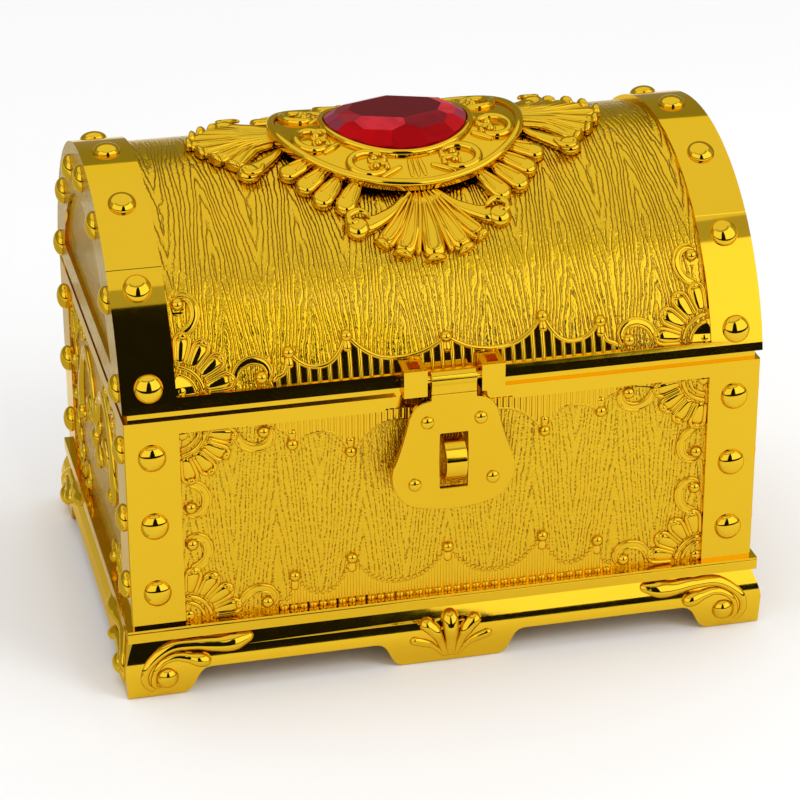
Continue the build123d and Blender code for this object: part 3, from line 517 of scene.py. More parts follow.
def pressBox(spot):
    # the plain forms on the four recessed panels go back into them, where the carvings stand
    inHeight = panelBottom - 0.05 < spot.z < panelTop + 0.05
    for along, out, edge, wall, reach in (
        (0, 1, panelEdge, halfDepth, panelReach), (1, 0, sideEdge, halfLength, sideReach)
    ):
        onStrap = abs(spot[along]) > edge - 0.06 or spot.z > panelTop - 0.06
        kept = onStrap and abs(abs(spot[out]) - wall) < 0.03
        onPanel = abs(spot[along]) < edge + 0.05 and reach < abs(spot[out]) < reach + 2.2
        if inHeight and onPanel and not kept:
            spot[out] = math.copysign(reach, spot[out])
    return spot


def pressLid(spot):
    # the same on the barrel, and the foot of the lid leans out a little, as moulded sides do
    radius = math.hypot(spot.y, spot.z - vaultCentre)
    inPanel = abs(spot.x) < panelEdge + 0.15 and spot.z > grainFoot and abs(spot.y) > 30
    if inPanel and panelRadius < radius < panelRadius + 1.6:
        spot.y *= panelRadius / radius
        spot.z = vaultCentre + (spot.z - vaultCentre) * panelRadius / radius
    if -56 < spot.y < -55 and spot.z < lidFoot + 0.1:
        spot.y -= chest["lidLean"]
    return spot


def pressPlinth(spot):
    # the scrolls of the feet and the bracket go back to the skirt
    proud = abs(spot.y) > halfDepth + 1.38 or abs(spot.x) > halfLength + 1.38
    if spot.z < skirtTop - 0.05 or spot.z < skirtTop + 0.1 and proud:
        out = plinthOut(spot.z)
        for axis, wall, otherWall in ((1, halfDepth, halfLength), (0, halfLength, halfDepth)):
            if abs(spot[axis]) > wall + out + 0.05 and abs(spot[1 - axis]) < otherWall + out + 0.1:
                spot[axis] = math.copysign(wall + out, spot[axis])
    return spot


def boxFinish(centre, normal):
    # 0 strap, 1 front and back grain, 2 side grain, 3 inside
    if abs(centre.x) < sideReach - 1.5 and abs(centre.y) < panelReach - 1.5 and centre.z > 19:
        return 3
    for axis, reach, finish in ((1, panelReach, 1), (0, sideReach, 2)):
        if abs(normal[axis]) > 0.99 and abs(abs(centre[axis]) - reach) < 0.1 and centre.z < panelTop:
            return finish
    return 0


def lidFinishOf(centre, normal):
    # 0 strap, 1 barrel grain, 2 ends, 3 inside
    radius = math.hypot(centre.y, centre.z - vaultCentre)
    outward = normal.y * centre.y + normal.z * (centre.z - vaultCentre) > 0
    onBarrel = panelRadius - 1.2 < radius < vaultRadius - 0.4 and centre.z > grainFoot
    if abs(normal.x) < 0.05 and abs(centre.x) < panelEdge + 0.3 and outward and onBarrel:
        return 1
    if abs(normal.x) > 0.99 and abs(centre.x) > sideReach:
        return 2
    return 3 if radius < panelRadius - 1.8 and abs(centre.x) < sideReach - 1 else 0


dressNode(
    "box_shell", "boxShell", [goldStrap, frontGrain, sideGrainPaintedShade, goldInside], boxFinish,
    press=pressBox, cut=panelTop,
)
dressNode("plinth", "plinthBase", [goldPlinth], press=pressPlinth, curved=skirtNormal)
dressNode(
    "lid_shell", "lidShell", [goldLidStrap, lidGrain, sideGrainPaintedShade, goldInside], lidFinishOf,
    press=pressLid, curved=vaultNormal,
)
dressNode("hasp_plate", "haspPlate", [goldHasp], bevel=0.4, segments=3)
dressNode("lock_staple", "lockStaple", [goldStrap], bevel=0.2)
dressNode("hasp_pin", "haspPin", [goldStrap], bevel=0.1)
print("box, plinth, lid and hasp dressed")

for node in ("plinth_screws", "hinge_pin_left", "hinge_pin_right", "crest_push_nuts"):
    frame["nodes"][node].data.materials.clear()
    frame["nodes"][node].data.materials.append(steel)


# reliefs: swept strokes and beads drawn flat, then laid on a surface

markValues = ("width", "rise", "lift", "cap", "bead")


def startGroup(name, inputs):
    tree = bpy.data.node_groups.new(name, "GeometryNodeTree")
    inputs = {"Geometry": ("Geometry", None), **inputs, "Material": ("Material", None)}
    for label, (kind, value) in inputs.items():
        socket = tree.interface.new_socket(label, in_out="INPUT", socket_type="NodeSocket" + kind)
        if value is not None:
            socket.default_value = value
    tree.interface.new_socket("Geometry", in_out="OUTPUT", socket_type="NodeSocketGeometry")
    return tree, Nodes(tree)


def endGroup(nodes, shape):
    smooth = nodes.form("SetShadeSmooth", {"Geometry": shape})
    real = nodes.form("RealizeInstances", {"Geometry": smooth})
    done = nodes.form("SetMaterial", {"Geometry": real, "Material": nodes.given("Material")})
    nodes.add("NodeGroupOutput", {"Geometry": done})
    return nodes.tree


def strokesGroup():
    tree, nodes = startGroup("reliefStrokes", {"Stroke sides": ("Int", 10), "Bead segments": ("Int", 18)})
    drawn = nodes.given("Geometry")
    width, rise, lift, cap, isBead = [nodes.named(label) for label in markValues]
    ring = nodes.form("CurvePrimitiveCircle", {"Resolution": nodes.given("Stroke sides"), "Radius": 1.0})
    path = nodes.form("MeshToCurve", {"Mesh": drawn})
    swept = nodes.form("CurveToMesh", {"Curve": path, "Profile Curve": ring, "Scale": width, "Fill Caps": True})
    ball = nodes.form("MeshUVSphere", {"Segments": nodes.given("Bead segments"), "Rings": 9, "Radius": 1.0})
    size = nodes.combine(width, width, width)
    seats = {"Points": drawn, "Selection": isBead}
    beads = nodes.form("InstanceOnPoints", {**seats, "Instance": ball, "Scale": size})
    together = tree.nodes.new("GeometryNodeJoinGeometry")
    for part in (nodes.form("RealizeInstances", {"Geometry": beads}), swept):
        tree.links.new(part.socket, together.inputs[0])
    x, y, z = nodes.split(nodes.form("InputPosition"))
    laid = nodes.combine(x, y, (z * rise / cap).math("TANH") * cap + lift)
    flat = nodes.form("SetPosition", {"Geometry": Wire(tree, together.outputs[0]), "Position": laid})
    return endGroup(nodes, flat)


strokesTree = strokesGroup()


def runTree(obj, tree, values):
    modifier = obj.modifiers.new(tree.name, "NODES")
    modifier.node_group = tree
    for item in tree.interface.items_tree:
        if item.in_out == "INPUT" and item.name in values:
            modifier[item.identifier] = values[item.name]
    mesh = bakedMesh(obj)
    obj.modifiers.remove(modifier)
    return mesh


def smoothPath(points, steps=8):
    # a curve through the points, as a list of many short steps
    ends = [Vector(point) for point in points]
    if len(ends) == 2:
        return [ends[0].lerp(ends[1], i / steps) for i in range(steps + 1)]
    ends = [2 * ends[0] - ends[1], *ends, 2 * ends[-1] - ends[-2]]
    path = []
    for a, b, c, d in zip(ends, ends[1:], ends[2:], ends[3:]):
        for i in range(steps):
            t = i / steps
            square, cube = 2 * a - 5 * b + 4 * c - d, 3 * b - a - 3 * c + d
            path.append(0.5 * ((2 * b) + (c - a) * t + square * t**2 + cube * t**3))
    return path + [ends[-2]]


def stroke(points, widths, rise=0.7, lift=0.0, pitch=0.9, blunt=False, cap=900.0):
    # a swept stroke through the points; widths are half widths spread evenly along it, cap flattens its top
    path, reach = smoothPath(points), [0.0]
    for a, b in zip(path, path[1:]):
        reach.append(reach[-1] + (b - a).length)
    total = reach[-1]
    widths = [widths] * 2 if isinstance(widths, (int, float)) else list(widths)
    startRound, endRound = min(widths[0], total * 0.4), min(widths[-1], total * 0.4)
    middle = total - startRound - endRound
    count = max(2, int(middle / pitch))
    turn = [1 - math.cos(math.radians(a)) for a in (0, 22, 44, 66)]
    stops = [t * startRound for t in turn] + [startRound + middle * i / count for i in range(count + 1)]
    stops += [total - t * endRound for t in reversed(turn)]
    if blunt:
        stops = [total * i / (count + 1) for i in range(count + 2)]
    made = []
    for distance in stops:
        k = min(max(i for i in range(len(reach)) if reach[i] <= distance + 1e-9), len(path) - 2)
        gap = reach[k + 1] - reach[k]
        spot = path[k].lerp(path[k + 1], (distance - reach[k]) / gap if gap > 1e-9 else 0)
        t = distance / total * (len(widths) - 1)
        i = min(int(t), len(widths) - 2)
        size = widths[i] + (widths[i + 1] - widths[i]) * (t - i) ** 2 * (3 - 2 * (t - i))
        for depth, roundEnd in ((distance, startRound), (total - distance, endRound)):
            if depth < roundEnd and not blunt:
                size *= math.sqrt(max(1 - (1 - depth / roundEnd) ** 2, 0.0)) * 0.98 + 0.02
        made.append((spot.x, spot.y, size))
    return {"points": made, "rise": rise, "lift": lift, "cap": cap}


def bead(u, v, radius, rise=0.8, lift=0.0, cap=900.0):
    return {"points": [(u, v, radius)], "rise": rise, "lift": lift, "cap": cap}


def besidePath(points, widths, share):
    # the points moved sideways by a share of the half width that the stroke has there
    path = smoothPath(points, 5)
    beside = []
    for i, spot in enumerate(path):
        way = (path[min(i + 1, len(path) - 1)] - path[max(i - 1, 0)]).normalized()
        place = i / (len(path) - 1) * (len(widths) - 1)
        k = min(int(place), len(widths) - 2)
        half = widths[k] + (widths[k + 1] - widths[k]) * (place - k)
        beside.append((spot.x - way.y * half * share, spot.y + way.x * half * share))
    return beside[::2] + ([beside[-1]] if len(beside) % 2 == 0 else [])


def ribbon(points, widths, rise=0.35, edge=0.42, edgeRise=1.15):
    # a flat band with a thin ridge along each side
    sides = [besidePath(points, widths, share) for share in (0.7, -0.7)]
    return [stroke(points, widths, rise)] + [stroke(side, edge, edgeRise, widths[0] * 0.1) for side in sides]


def flipped(points, signU=1, signV=1, lift=0.0):
    # points drawn for one side, on another side and moved up
    return [(signU * u, lift + signV * v) for u, v in points]


def mirrored(marks, signU=-1, signV=1):
    return [{**mark, "points": [(signU * u, signV * v, w) for u, v, w in mark["points"]]} for mark in marks]


def drawnMesh(name, marks):
    # one mesh of edges and loose points that carries the values of each mark
    spots, edges, drawn = [], [], {label: [] for label in markValues}
    for mark in marks:
        first = len(spots)
        for u, v, width in mark["points"]:
            spots.append((u, v, 0.0))
            values = {**mark, "width": width, "bead": float(len(mark["points"]) == 1)}
            for label in markValues:
                drawn[label].append(values[label])
        edges += [(i, i + 1) for i in range(first, len(spots) - 1)]
    mesh = bpy.data.meshes.new(name)
    mesh.from_pydata(spots, edges, [])
    for label, values in drawn.items():
        mesh.attributes.new(label, "FLOAT", "POINT").data.foreach_set("value", values)
    return mesh


def carve(name, marks, place, body, nodes=(), sink=-0.25, halfTurn=False, sides=10):
    # lays the marks on a surface; halfTurn makes the same on the far side of the chest
    obj = addObject(name, drawnMesh(name, marks))
    mesh = runTree(obj, strokesTree, {"Stroke sides": sides, "Material": goldRelief})
    turned = Matrix.Rotation(math.pi if halfTurn else 0.0, 3, "Z")
    for vertex in mesh.vertices:
        u, v, h = vertex.co
        vertex.co = turned @ place(u, v, max(h, sink)) * mm
    for label in markValues:
        if label in mesh.attributes:
            mesh.attributes.remove(mesh.attributes[label])
    obj.data = mesh
    return finishPiece(obj, body, nodes)


# quarter shells in the corners of the panels

cornerLook = {
    "petals": 4,
    "petalStart": 7.5,
    "petalEnd": 14.3,
    "petalHalf": 1.85,
    "petalRim": 0.56,
    "rings": ((6.6, 0.62), (4.9, 0.55)),
    "hook": ((13.9, 2.2), (15.4, 5.0), (18.2, 6.4), (21.3, 5.8), (22.7, 3.6), (22.0, 1.4)),
    "hookWidths": (1.0, 1.25, 1.3, 1.1, 0.7),
    "bead": (20.7, 2.4),
    "beadRadius": 1.65,
}


def petalMarks(at, degrees):
    # a lobe of the shell: a raised rim round a flat field, and a thick tip
    look = cornerLook
    start, end, half = look["petalStart"], look["petalEnd"], look["petalHalf"]

    def spot(reach, aside):
        (a, b), (c, d) = onCircle(reach, degrees), onCircle(aside, degrees + 90)
        return at(a + c, b + d)

    side = [(start, 0.6), (start + 2.6, 0.84), (end - 1.7, 1.0), (end - 0.5, 0.62)]
    rim = [spot(reach, -half * share) for reach, share in side] + [spot(end, 0)]
    rim += [spot(reach, half * share) for reach, share in reversed(side)]
    tip = [spot(end - 1.1, -half * 0.5), spot(end - 0.5, 0), spot(end - 1.1, half * 0.5)]
    return [
        stroke([spot(start, 0), spot((start + end) / 2, 0), spot(end - 0.8, 0)], (1.1, 1.7, 1.8), 0.28),
        stroke(rim, look["petalRim"], 1.2, 0.1, pitch=0.6),
        stroke(tip, 0.85, 1.0, 0.25),
    ]


def cornerMarks(cornerU, cornerV, signU, signV, stretch=1.0):
    # quarter shell in a corner with a scroll along each edge
    look, marks = cornerLook, []

    def at(a, b):
        return (cornerU + signU * a, cornerV + signV * b * stretch)

    for i in range(look["petals"]):
        marks += petalMarks(at, 90 * (i + 0.5) / look["petals"])
    for radius, width in look["rings"]:
        marks.append(stroke([at(*onCircle(radius, a)) for a in range(3, 88, 12)], width, 1.1))
    marks.append(bead(*at(1.0, 1.0), 1.5, 0.5))
    for order in (1, -1):
        marks += ribbon([at(*point[::order]) for point in look["hook"]], look["hookWidths"])
        marks.append(bead(*at(*look["bead"][::order]), look["beadRadius"], 0.95))
    return marks


def fourCorners(edge):
    marks = []
    for signU in both:
        marks += cornerMarks(-signU * edge, panelBottom + 0.3, signU, 1)
        marks += cornerMarks(-signU * edge, panelTop, signU, -1)
    return marks


# fluted fringes with a scalloped edge and a bead on each post

fringes = {
    "boxFringeTop": {
        "base": panelTop, "way": -1, "pitch": 1.5, "halfWidth": 0.6, "beadSize": 1.6, "edgeWidth": 0.42,
        "posts": ((0.0, 10.2), (24.5, 10.2), (39.0, 6.6), (43.2, 0.6)), "sags": (2.6, 3.8, 2.4),
    },
    "boxFringeLow": {
        "base": panelBottom, "way": 1, "pitch": 1.5, "halfWidth": 0.5, "beadSize": 1.55, "ropePitch": 1.15,
        "posts": ((0.0, 12.2), (24.5, 12.2), (39.0, 9.0), (43.2, 1.0)), "sags": (4.2, 3.5, 2.6),
    },
    # slope is the share of its own rise that the ground shows, and the degrees that it tips up
    "lidFringe": {
        "base": -75.4, "way": 1, "pitch": 2.55, "halfWidth": 0.62, "beadSize": 1.6, "edgeWidth": 0.62,
        "posts": ((0.0, 8.0), (24.5, 10.7), (39.0, 8.0), (43.2, 1.0)), "sags": (3.9, 3.6, 2.4),
        "slope": (0.2, 7.0),
    },
}
gadroons = {"reach": 43, "pitch": 2.4, "halfWidth": 1.05}


def wholeFringe(look):
    # the posts of both sides, and the depth at any u: full at a post, least half way between two
    posts = sorted([*look["posts"], *[(-u, depth) for u, depth in look["posts"] if u > 0]])
    sags = [*reversed(look["sags"]), *look["sags"]]

    def depthAt(u):
        for (left, depthLeft), (right, depthRight), sag in zip(posts, posts[1:], sags):
            if left <= u <= right:
                t = (u - left) / (right - left)
                peak = depthLeft if t < 0.5 else depthRight
                return sag + (peak - sag) * abs(2 * t - 1) ** 2.4
        return 0.0
    return posts, depthAt


def fringeGround(fringe, side, place, body, halfTurn, columns=150, rows=6):
    # the smooth ground that the flutes stand on, a thin closed sheet up to the scalloped edge
    look = fringes[fringe]
    posts, depthAt = wholeFringe(look)
    left, right = posts[0][0], posts[-1][0]
    turned = Matrix.Rotation(math.pi if halfTurn else 0.0, 3, "Z")
    shape = bmesh.new()
    layers = []
    for height in (0.14, -0.2):
        layer = []
        for i in range(columns + 1):
            u = left + (right - left) * i / columns
            step = look["way"] * max(0.4, depthAt(u))
            spots = [place(u, look["base"] + step * r / rows, height) for r in range(rows + 1)]
            layer.append([shape.verts.new(turned @ spot * mm) for spot in spots])
        layers.append(layer)
    for layer in layers:
        for i in range(columns):
            for r in range(rows):
                shape.faces.new((layer[i][r], layer[i + 1][r], layer[i + 1][r + 1], layer[i][r + 1]))
    border = [(i, 0) for i in range(columns)] + [(columns, r) for r in range(rows)]
    border += [(i, rows) for i in range(columns, 0, -1)] + [(0, r) for r in range(rows, 0, -1)]
    for (i, r), (j, s) in zip(border, border[1:] + border[:1]):
        shape.faces.new((layers[0][i][r], layers[0][j][s], layers[1][j][s], layers[1][i][r]))
    bmesh.ops.recalc_face_normals(shape, faces=shape.faces)
    mesh = smoothMesh(fringe + side, shape, 30, [goldStrap])
    if "slope" in look:
        share, tip = look["slope"]
        normals = [Vector(corner.vector) for corner in mesh.corner_normals]
        for face in mesh.polygons[:columns * rows]:
            for corner in face.loop_indices:
                out = normals[corner]
                rise = math.atan2(out.z, abs(out.y)) * share + math.radians(tip)
                normals[corner] = Vector((0, math.copysign(math.cos(rise), out.y), math.sin(rise)))
        mesh.normals_split_custom_set(normals)
    finishPiece(addObject(fringe + side, mesh), body)


def fringeMarks(fringe, steps=160):
    # flutes from a straight base line out to a roped or a plain scalloped edge
    look = fringes[fringe]
    posts, depthAt = wholeFringe(look)
    left, right, base, way = posts[0][0], posts[-1][0], look["base"], look["way"]
    ropePitch = look.get("ropePitch")
    count = int((right - left) / look["pitch"])
    marks = []
    for i in range(count + 1):
        u = left + (right - left) * (i + 0.5) / (count + 1)
        flute = [(u, base), (u, base + way * depthAt(u))]
        marks.append(stroke(flute, look["halfWidth"], 0.75, pitch=3.0, blunt=not ropePitch))
    across = [left + (right - left) * i / steps for i in range(steps + 1)]
    edge = [(u, base + way * (depthAt(u) + 0.2)) for u in across]
    if ropePitch:
        walked = 0.0
        for (u0, v0), (u1, v1) in zip(edge, edge[1:]):
            walked += math.hypot(u1 - u0, v1 - v0)
            if walked > ropePitch:
                walked = 0.0
                marks.append(stroke([(u0 - 0.45, v0 - 0.45), (u0 + 0.45, v0 + 0.45)], 0.5, 1.0, pitch=2.0))
    else:
        marks.append(stroke(edge[::2], look["edgeWidth"], 0.9))
    for u, depth in posts[1:-1]:
        stem = [(u, base + way * (depth - 4.0)), (u, base + way * (depth - 0.6))]
        marks.append(stroke(stem, (1.3, 0.8), 0.75))
        marks.append(bead(u, base + way * depth, look["beadSize"], 0.95))
    return marks


def frontMarks():
    # corners, both fringes and a row of gadroons along the foot
    marks = fourCorners(panelEdge) + fringeMarks("boxFringeTop") + fringeMarks("boxFringeLow")
    reach, halfWidth = gadroons["reach"], gadroons["halfWidth"]
    count = int(2 * reach / gadroons["pitch"])
    for i in range(count):
        u = -reach + 2 * reach * (i + 0.5) / count
        marks.append(stroke([(u, panelBottom - 0.3), (u, panelBottom + 1.2)], halfWidth, 0.8, pitch=2.0))
    return marks


def lidFrontMarks():
    marks = []
    for signU in both:
        marks += cornerMarks(-signU * panelEdge, fringes["lidFringe"]["base"], signU, 1, 1.08)
    return marks + fringeMarks("lidFringe")


for halfTurn, side in ((False, "Front"), (True, "Back")):
    carve("boxCarving" + side, frontMarks(), frontPanel, "chest", halfTurn=halfTurn)
    carve("lidCarving" + side, lidFrontMarks(), lidPanel, "lid", halfTurn=halfTurn)
    for fringe in ("boxFringeTop", "boxFringeLow"):
        fringeGround(fringe, side, frontPanel, "chest", halfTurn)
    fringeGround("lidFringe", side, lidPanel, "lid", halfTurn)
print("panels carved")


# end panels

endLook = {
    "middle": 45.0,
    "arch": ((3.4, 5.2), (6.7, 12.6), (13.3, 16.5), (21.3, 13.9), (26.8, 5.4), (27.3, -3.0), (24.6, -6.4)),
    "archWidths": (1.2, 1.6, 1.8, 1.95, 2.1, 2.9, 2.2),
    "brow": ((3.0, 21.0), (8.0, 22.6), (14.0, 22.2), (18.0, 20.4)),
    "browWidths": (0.4, 0.7, 0.7, 0.4),
    "curl": ((8.6, 0.6), (12.4, 3.8), (16.4, 2.6), (16.8, -1.4), (13.8, -2.6), (12.6, -0.4)),
    "curlWidths": (0.7, 1.1, 1.1, 0.9, 0.7, 0.5),
    "beads": ((25.8, -4.6, 2.0, 0.8, 0.6), (18.6, 20.0, 1.1, 0.9), (14.6, -0.2, 1.0, 0.9)),
    "leaves": ((0.0, 11.0), (6.4, 6.0), (6.6, -5.6), (0.0, -9.4), (-6.6, -5.6), (-6.4, 6.0)),
    "leafWidth": 1.9,
}


def endMarks():
    # two arched scrolls that lean on a cluster of leaves, under a thin brow line
    look = endLook
    middle, width = look["middle"], look["leafWidth"]
    marks = fourCorners(sideEdge)
    for sign in both:
        arch, brow, curl = [flipped(look[key], sign, lift=middle) for key in ("arch", "brow", "curl")]
        first, second, third = [bead(sign * u, middle + v, *rest) for u, v, *rest in look["beads"]]
        marks += ribbon(arch, look["archWidths"], 0.5, 0.55, 1.3)
        marks += [first, stroke(brow, look["browWidths"], 0.9)]
        marks += [second, stroke(curl, look["curlWidths"], 0.9), third]
    for leaf in look["leaves"]:
        tip, heart = Vector(leaf), Vector((0, middle))
        spine = [tip.normalized() * 2.2 + heart, tip * 0.6 + heart, tip + heart]
        marks.append(stroke(spine, (0.9, width, width * 0.8), 0.75))
    marks.append(bead(0, middle, 2.4, 0.8, 0.2))
    return marks


for halfTurn, side in ((False, "Left"), (True, "Right")):
    carve("boxCarving" + side, endMarks(), leftPanel, "chest", halfTurn=halfTurn)


# plinth scrolls and bracket palmettes

footLook = {
    "leaf": (
        (32.0, 13.3), (25.0, 12.2), (18.0, 12.7), (11.2, 12.6), (6.2, 9.6), (4.4, 6.4), (4.7, 3.4), (6.6, 1.5),
    ),
    "leafWidths": (1.2, 2.3, 1.9, 1.5, 1.45, 1.3, 1.2, 0.8),
    "inner": (
        (21.0, 8.3), (16.6, 9.4), (12.4, 10.3), (9.2, 9.4), (7.2, 7.4), (6.5, 4.9), (6.8, 2.8), (8.4, 1.9),
    ),
    "innerWidths": (1.6, 1.9, 1.3, 1.05, 0.9, 0.8, 0.9, 0.3),
    "ball": (9.9, 4.9),
    "ballRadius": 2.9,
}
# each lobe of the bracket: where its tip is, the half width there and in its stem
bracketLook = {"root": 1.2, "lobes": ((0.0, 13.9, 2.5, 1.7), (7.6, 11.8, 1.95, 1.2), (10.7, 7.1, 1.35, 0.8))}


def footMarks(edge):
    # at each end of a face, a long leaf and a shorter one that both roll round a ball
    look = footLook

    def at(x, z):
        return (-(edge + skirt["base"]) + x, z)

    marks = [
        stroke([at(*spot) for spot in look["leaf"]], look["leafWidths"], 0.95, -0.3, pitch=0.7),
        stroke([at(*spot) for spot in look["inner"]], look["innerWidths"], 1.1, -0.1, pitch=0.7),
        bead(*at(*look["ball"]), look["ballRadius"], 0.78, -0.2),
    ]
    return marks + mirrored(marks)


def bracketMarks():
    # five lobes that rise from the foot of the bracket
    marks, root = [], bracketLook["root"]
    for x, z, width, stem in bracketLook["lobes"]:
        for sign in both if x else (1,):
            points = [(sign * x * 0.12, root), (sign * x * 0.5, root + (z - root) * 0.66), (sign * x, z)]
            marks.append(stroke(points, (stem * 0.8, stem, width * 0.95, width), 1.0, -0.2, pitch=0.6))
    return marks


for halfTurn, side in ((False, "Front"), (True, "Back")):
    marks = footMarks(halfLength) + bracketMarks()
    carve("plinthScrolls" + side, marks, frontPlinth, "chest", halfTurn=halfTurn)
for halfTurn, side in ((False, "Left"), (True, "Right")):
    carve("plinthScrolls" + side, footMarks(halfDepth), leftPlinth, "chest", halfTurn=halfTurn)
print("sides and plinth carved")


# dome studs and rivets

studLook = {"radius": 3.5, "height": 2.1, "low": 27.45, "spacing": 18.3, "edge": 6.6, "step": 24.3, "steps": 3}
rivetLook = {"radius": 1.7, "height": 1.1, "face": -60.2, "spots": ((6.7, 67.9), (9.85, 51.5))}


def studsGroup():
    tree, nodes = startGroup("domeStuds", {"Stud radius": ("Float", 0.0035), "Stud height": ("Float", 0.0021)})
    radius, height = nodes.given("Stud radius"), nodes.given("Stud height")
    ball = nodes.form("MeshUVSphere", {"Segments": 28, "Rings": 16, "Radius": 1.0})
    x, y, z = nodes.split(nodes.form("InputPosition"))
    dome = nodes.combine(x * radius, y * radius, z.math("MAXIMUM", -0.1) * height)
    cap = nodes.form("SetPosition", {"Geometry": ball, "Position": dome})
    spin = nodes.add("FunctionNodeEulerToRotation", {"Euler": nodes.named("turn", "FLOAT_VECTOR")})
    seats = nodes.given("Geometry")
    return endGroup(nodes, nodes.form("InstanceOnPoints", {"Points": seats, "Instance": cap, "Rotation": spin}))


studsTree = studsGroup()


def setStuds(name, node, seats, look=studLook):
    # seats are pairs of a point and the way out of the surface
    mesh = bpy.data.meshes.new(name)
    mesh.from_pydata([seat * mm for seat, outward in seats], [], [])
    turns = [value for seat, outward in seats for value in outward.to_track_quat("Z", "Y").to_euler()]
    mesh.attributes.new("turn", "FLOAT_VECTOR", "POINT").data.foreach_set("vector", turns)
    obj = addObject(name, mesh)
    sizes = {"Stud radius": look["radius"] * mm, "Stud height": look["height"] * mm}
    obj.data = runTree(obj, studsTree, {**sizes, "Material": goldStud})
    return finishPiece(obj, nodeBody(node), [node])


strapMiddle, sideMiddle = halfLength - studLook["edge"], halfDepth - studLook["edge"]
for side, across, reach, right, outward in (
    ("front", strapMiddle, halfDepth, east, -north), ("back", strapMiddle, halfDepth, east, north),
    ("left", sideMiddle, halfLength, north, -east), ("right", sideMiddle, halfLength, north, east),
):
    heights = [studLook["low"] + studLook["spacing"] * row for row in range(3)]
    seats = [
        (right * (sign * across) + up * height + outward * reach, outward)
        for sign in (-1, 1) for height in heights
    ]
    setStuds("boxStuds" + side.title(), "studs_box_" + side, seats)


def archSeat(across, degrees, radius, outward=None):
    # a point on the barrel or on an end arch, and the way out of it
    rise, ahead = onCircle(1, degrees)
    around = Vector((0, -ahead, rise))
    return Vector((across, 0, vaultCentre)) + around * radius, outward or around


for side, sign in (("left", -1), ("right", 1)):
    turns = [studLook["step"] * i for i in range(-studLook["steps"], studLook["steps"] + 1)]
    onStrap = [archSeat(sign * strapMiddle, turn, vaultRadius) for turn in turns]
    endReach, endRadius = sign * (halfLength + 0.2), vaultRadius - studLook["edge"]
    onEnd = [archSeat(endReach, turn, endRadius, east * sign) for turn in turns]
    for label, seats in (("strap", onStrap), ("end", onEnd)):
        setStuds("lidStuds" + label.title() + side.title(), f"studs_{label}_{side}", seats)

seats = [(Vector((sign * x, rivetLook["face"], z)), -north) for x, z in rivetLook["spots"] for sign in (-1, 1)]
setStuds("haspRivets", "hasp_rivets", seats, rivetLook)
print("studs and rivets set")


# crest: leaves bent over the barrel; body, thimble and cluster are the heights at which their tops flatten

crestLook = {
    "base": panelRadius + 0.3,
    "body": 2.4,
    "thimble": 4.2,
    "cluster": 2.5,
    "palmette": ((0.0, 48.9, 3.0), (8.4, 47.0, 2.85), (13.2, 43.6, 2.4)),
    "stems": ((4.3, 46.6), (11.0, 44.0)),
    "palmetteArm": {
        "arm": ((2.4, -27.5), (7.4, -33.2), (12.6, -36.4), (17.4, -37.6)), "armWidths": (1.1, 1.4, 1.9, 3.0),
        "curl": ((14.4, -35.8), (17.0, -34.0), (19.8, -35.2), (19.4, -37.4), (17.6, -36.8)),
        "curlWidths": (0.5, 0.85, 0.8, 0.6), "ball": (17.8, -38.0, 3.1),
    },
    "fan": {"root": 27.5, "step": 13.2, "reach": 26.4, "shorter": 1.3, "width": 2.55},
    "fanArm": {
        "arm": ((29.0, 5.0), (33.5, 10.5), (37.6, 14.4), (40.6, 16.6)), "armWidths": (1.0, 1.4, 1.9, 2.9),
        "curl": ((37.0, 15.8), (38.4, 18.4), (41.2, 18.9), (42.4, 16.9), (40.8, 16.3)),
        "curlWidths": (0.5, 0.8, 0.75, 0.5), "ball": (41.0, 17.1, 3.05),
    },
    "clusters": ((33.5, 20.2), (30.0, 25.8), (26.5, 30.8), (21.0, 33.6)),
}


def armMarks(look, signU, signV=1):
    # an arm that runs onto a ball, with a curl over it
    u, v, radius = look["ball"]
    return [
        stroke(flipped(look["arm"], signU, signV), look["armWidths"], 1.2, cap=2.0),
        bead(signU * u, signV * v, radius, 1.3, cap=2.9),
        stroke(flipped(look["curl"], signU, signV), look["curlWidths"], 0.9, 2.3),
    ]


def lobeMarks(root, bend, tip, width, tongue=True):
    # a lobe that ends in a steep thimble, with a U-shaped ridge round its hollow
    a, b, c = Vector(root), Vector(bend), Vector(tip)
    way = (c - b).normalized()
    side = Vector((-way.y, way.x))
    widths = (width * 0.36, width * 0.62, width * 0.95, width)
    marks = [
        stroke([a, b, c - way * 0.6], widths, 0.85, cap=crestLook["body"]),
        stroke([c - way * 2.4, c], (width * 0.7, width * 1.06), 1.2, 0.1, pitch=0.6, cap=crestLook["thimble"]),
    ]
    if tongue:
        end = c - way * (width * 1.25)
        near, far = side * 0.15 * width, side * 0.42 * width
        ridge = [a.lerp(b, 0.5) + near, b.lerp(end, 0.5) + far, end + far, end + way * 0.7]
        ridge += [end - far, b.lerp(end, 0.5) - far, a.lerp(b, 0.5) - near]
        marks.append(stroke(ridge, 0.4, 1.4, crestLook["body"] * 0.62, pitch=0.6))
    return marks


def palmetteMarks():
    look, marks = crestLook, []
    for x, s, width in look["palmette"]:
        for sign in both if x else (1,):
            bend = (sign * x * 0.46, -(27 + (s - 27) * 0.52))
            marks += lobeMarks((sign * x * 0.13, -27.0), bend, (sign * x, -s), width)
    for sign in both:
        for a, b in look["stems"]:
            points = [(sign * a * 0.12, -28.0), (sign * a * 0.5, -37.5), (sign * a, -b)]
            marks.append(stroke(points, (0.5, 0.8, 0.75), 1.5, 0.5))
        marks += armMarks(look["palmetteArm"], sign)
    return marks


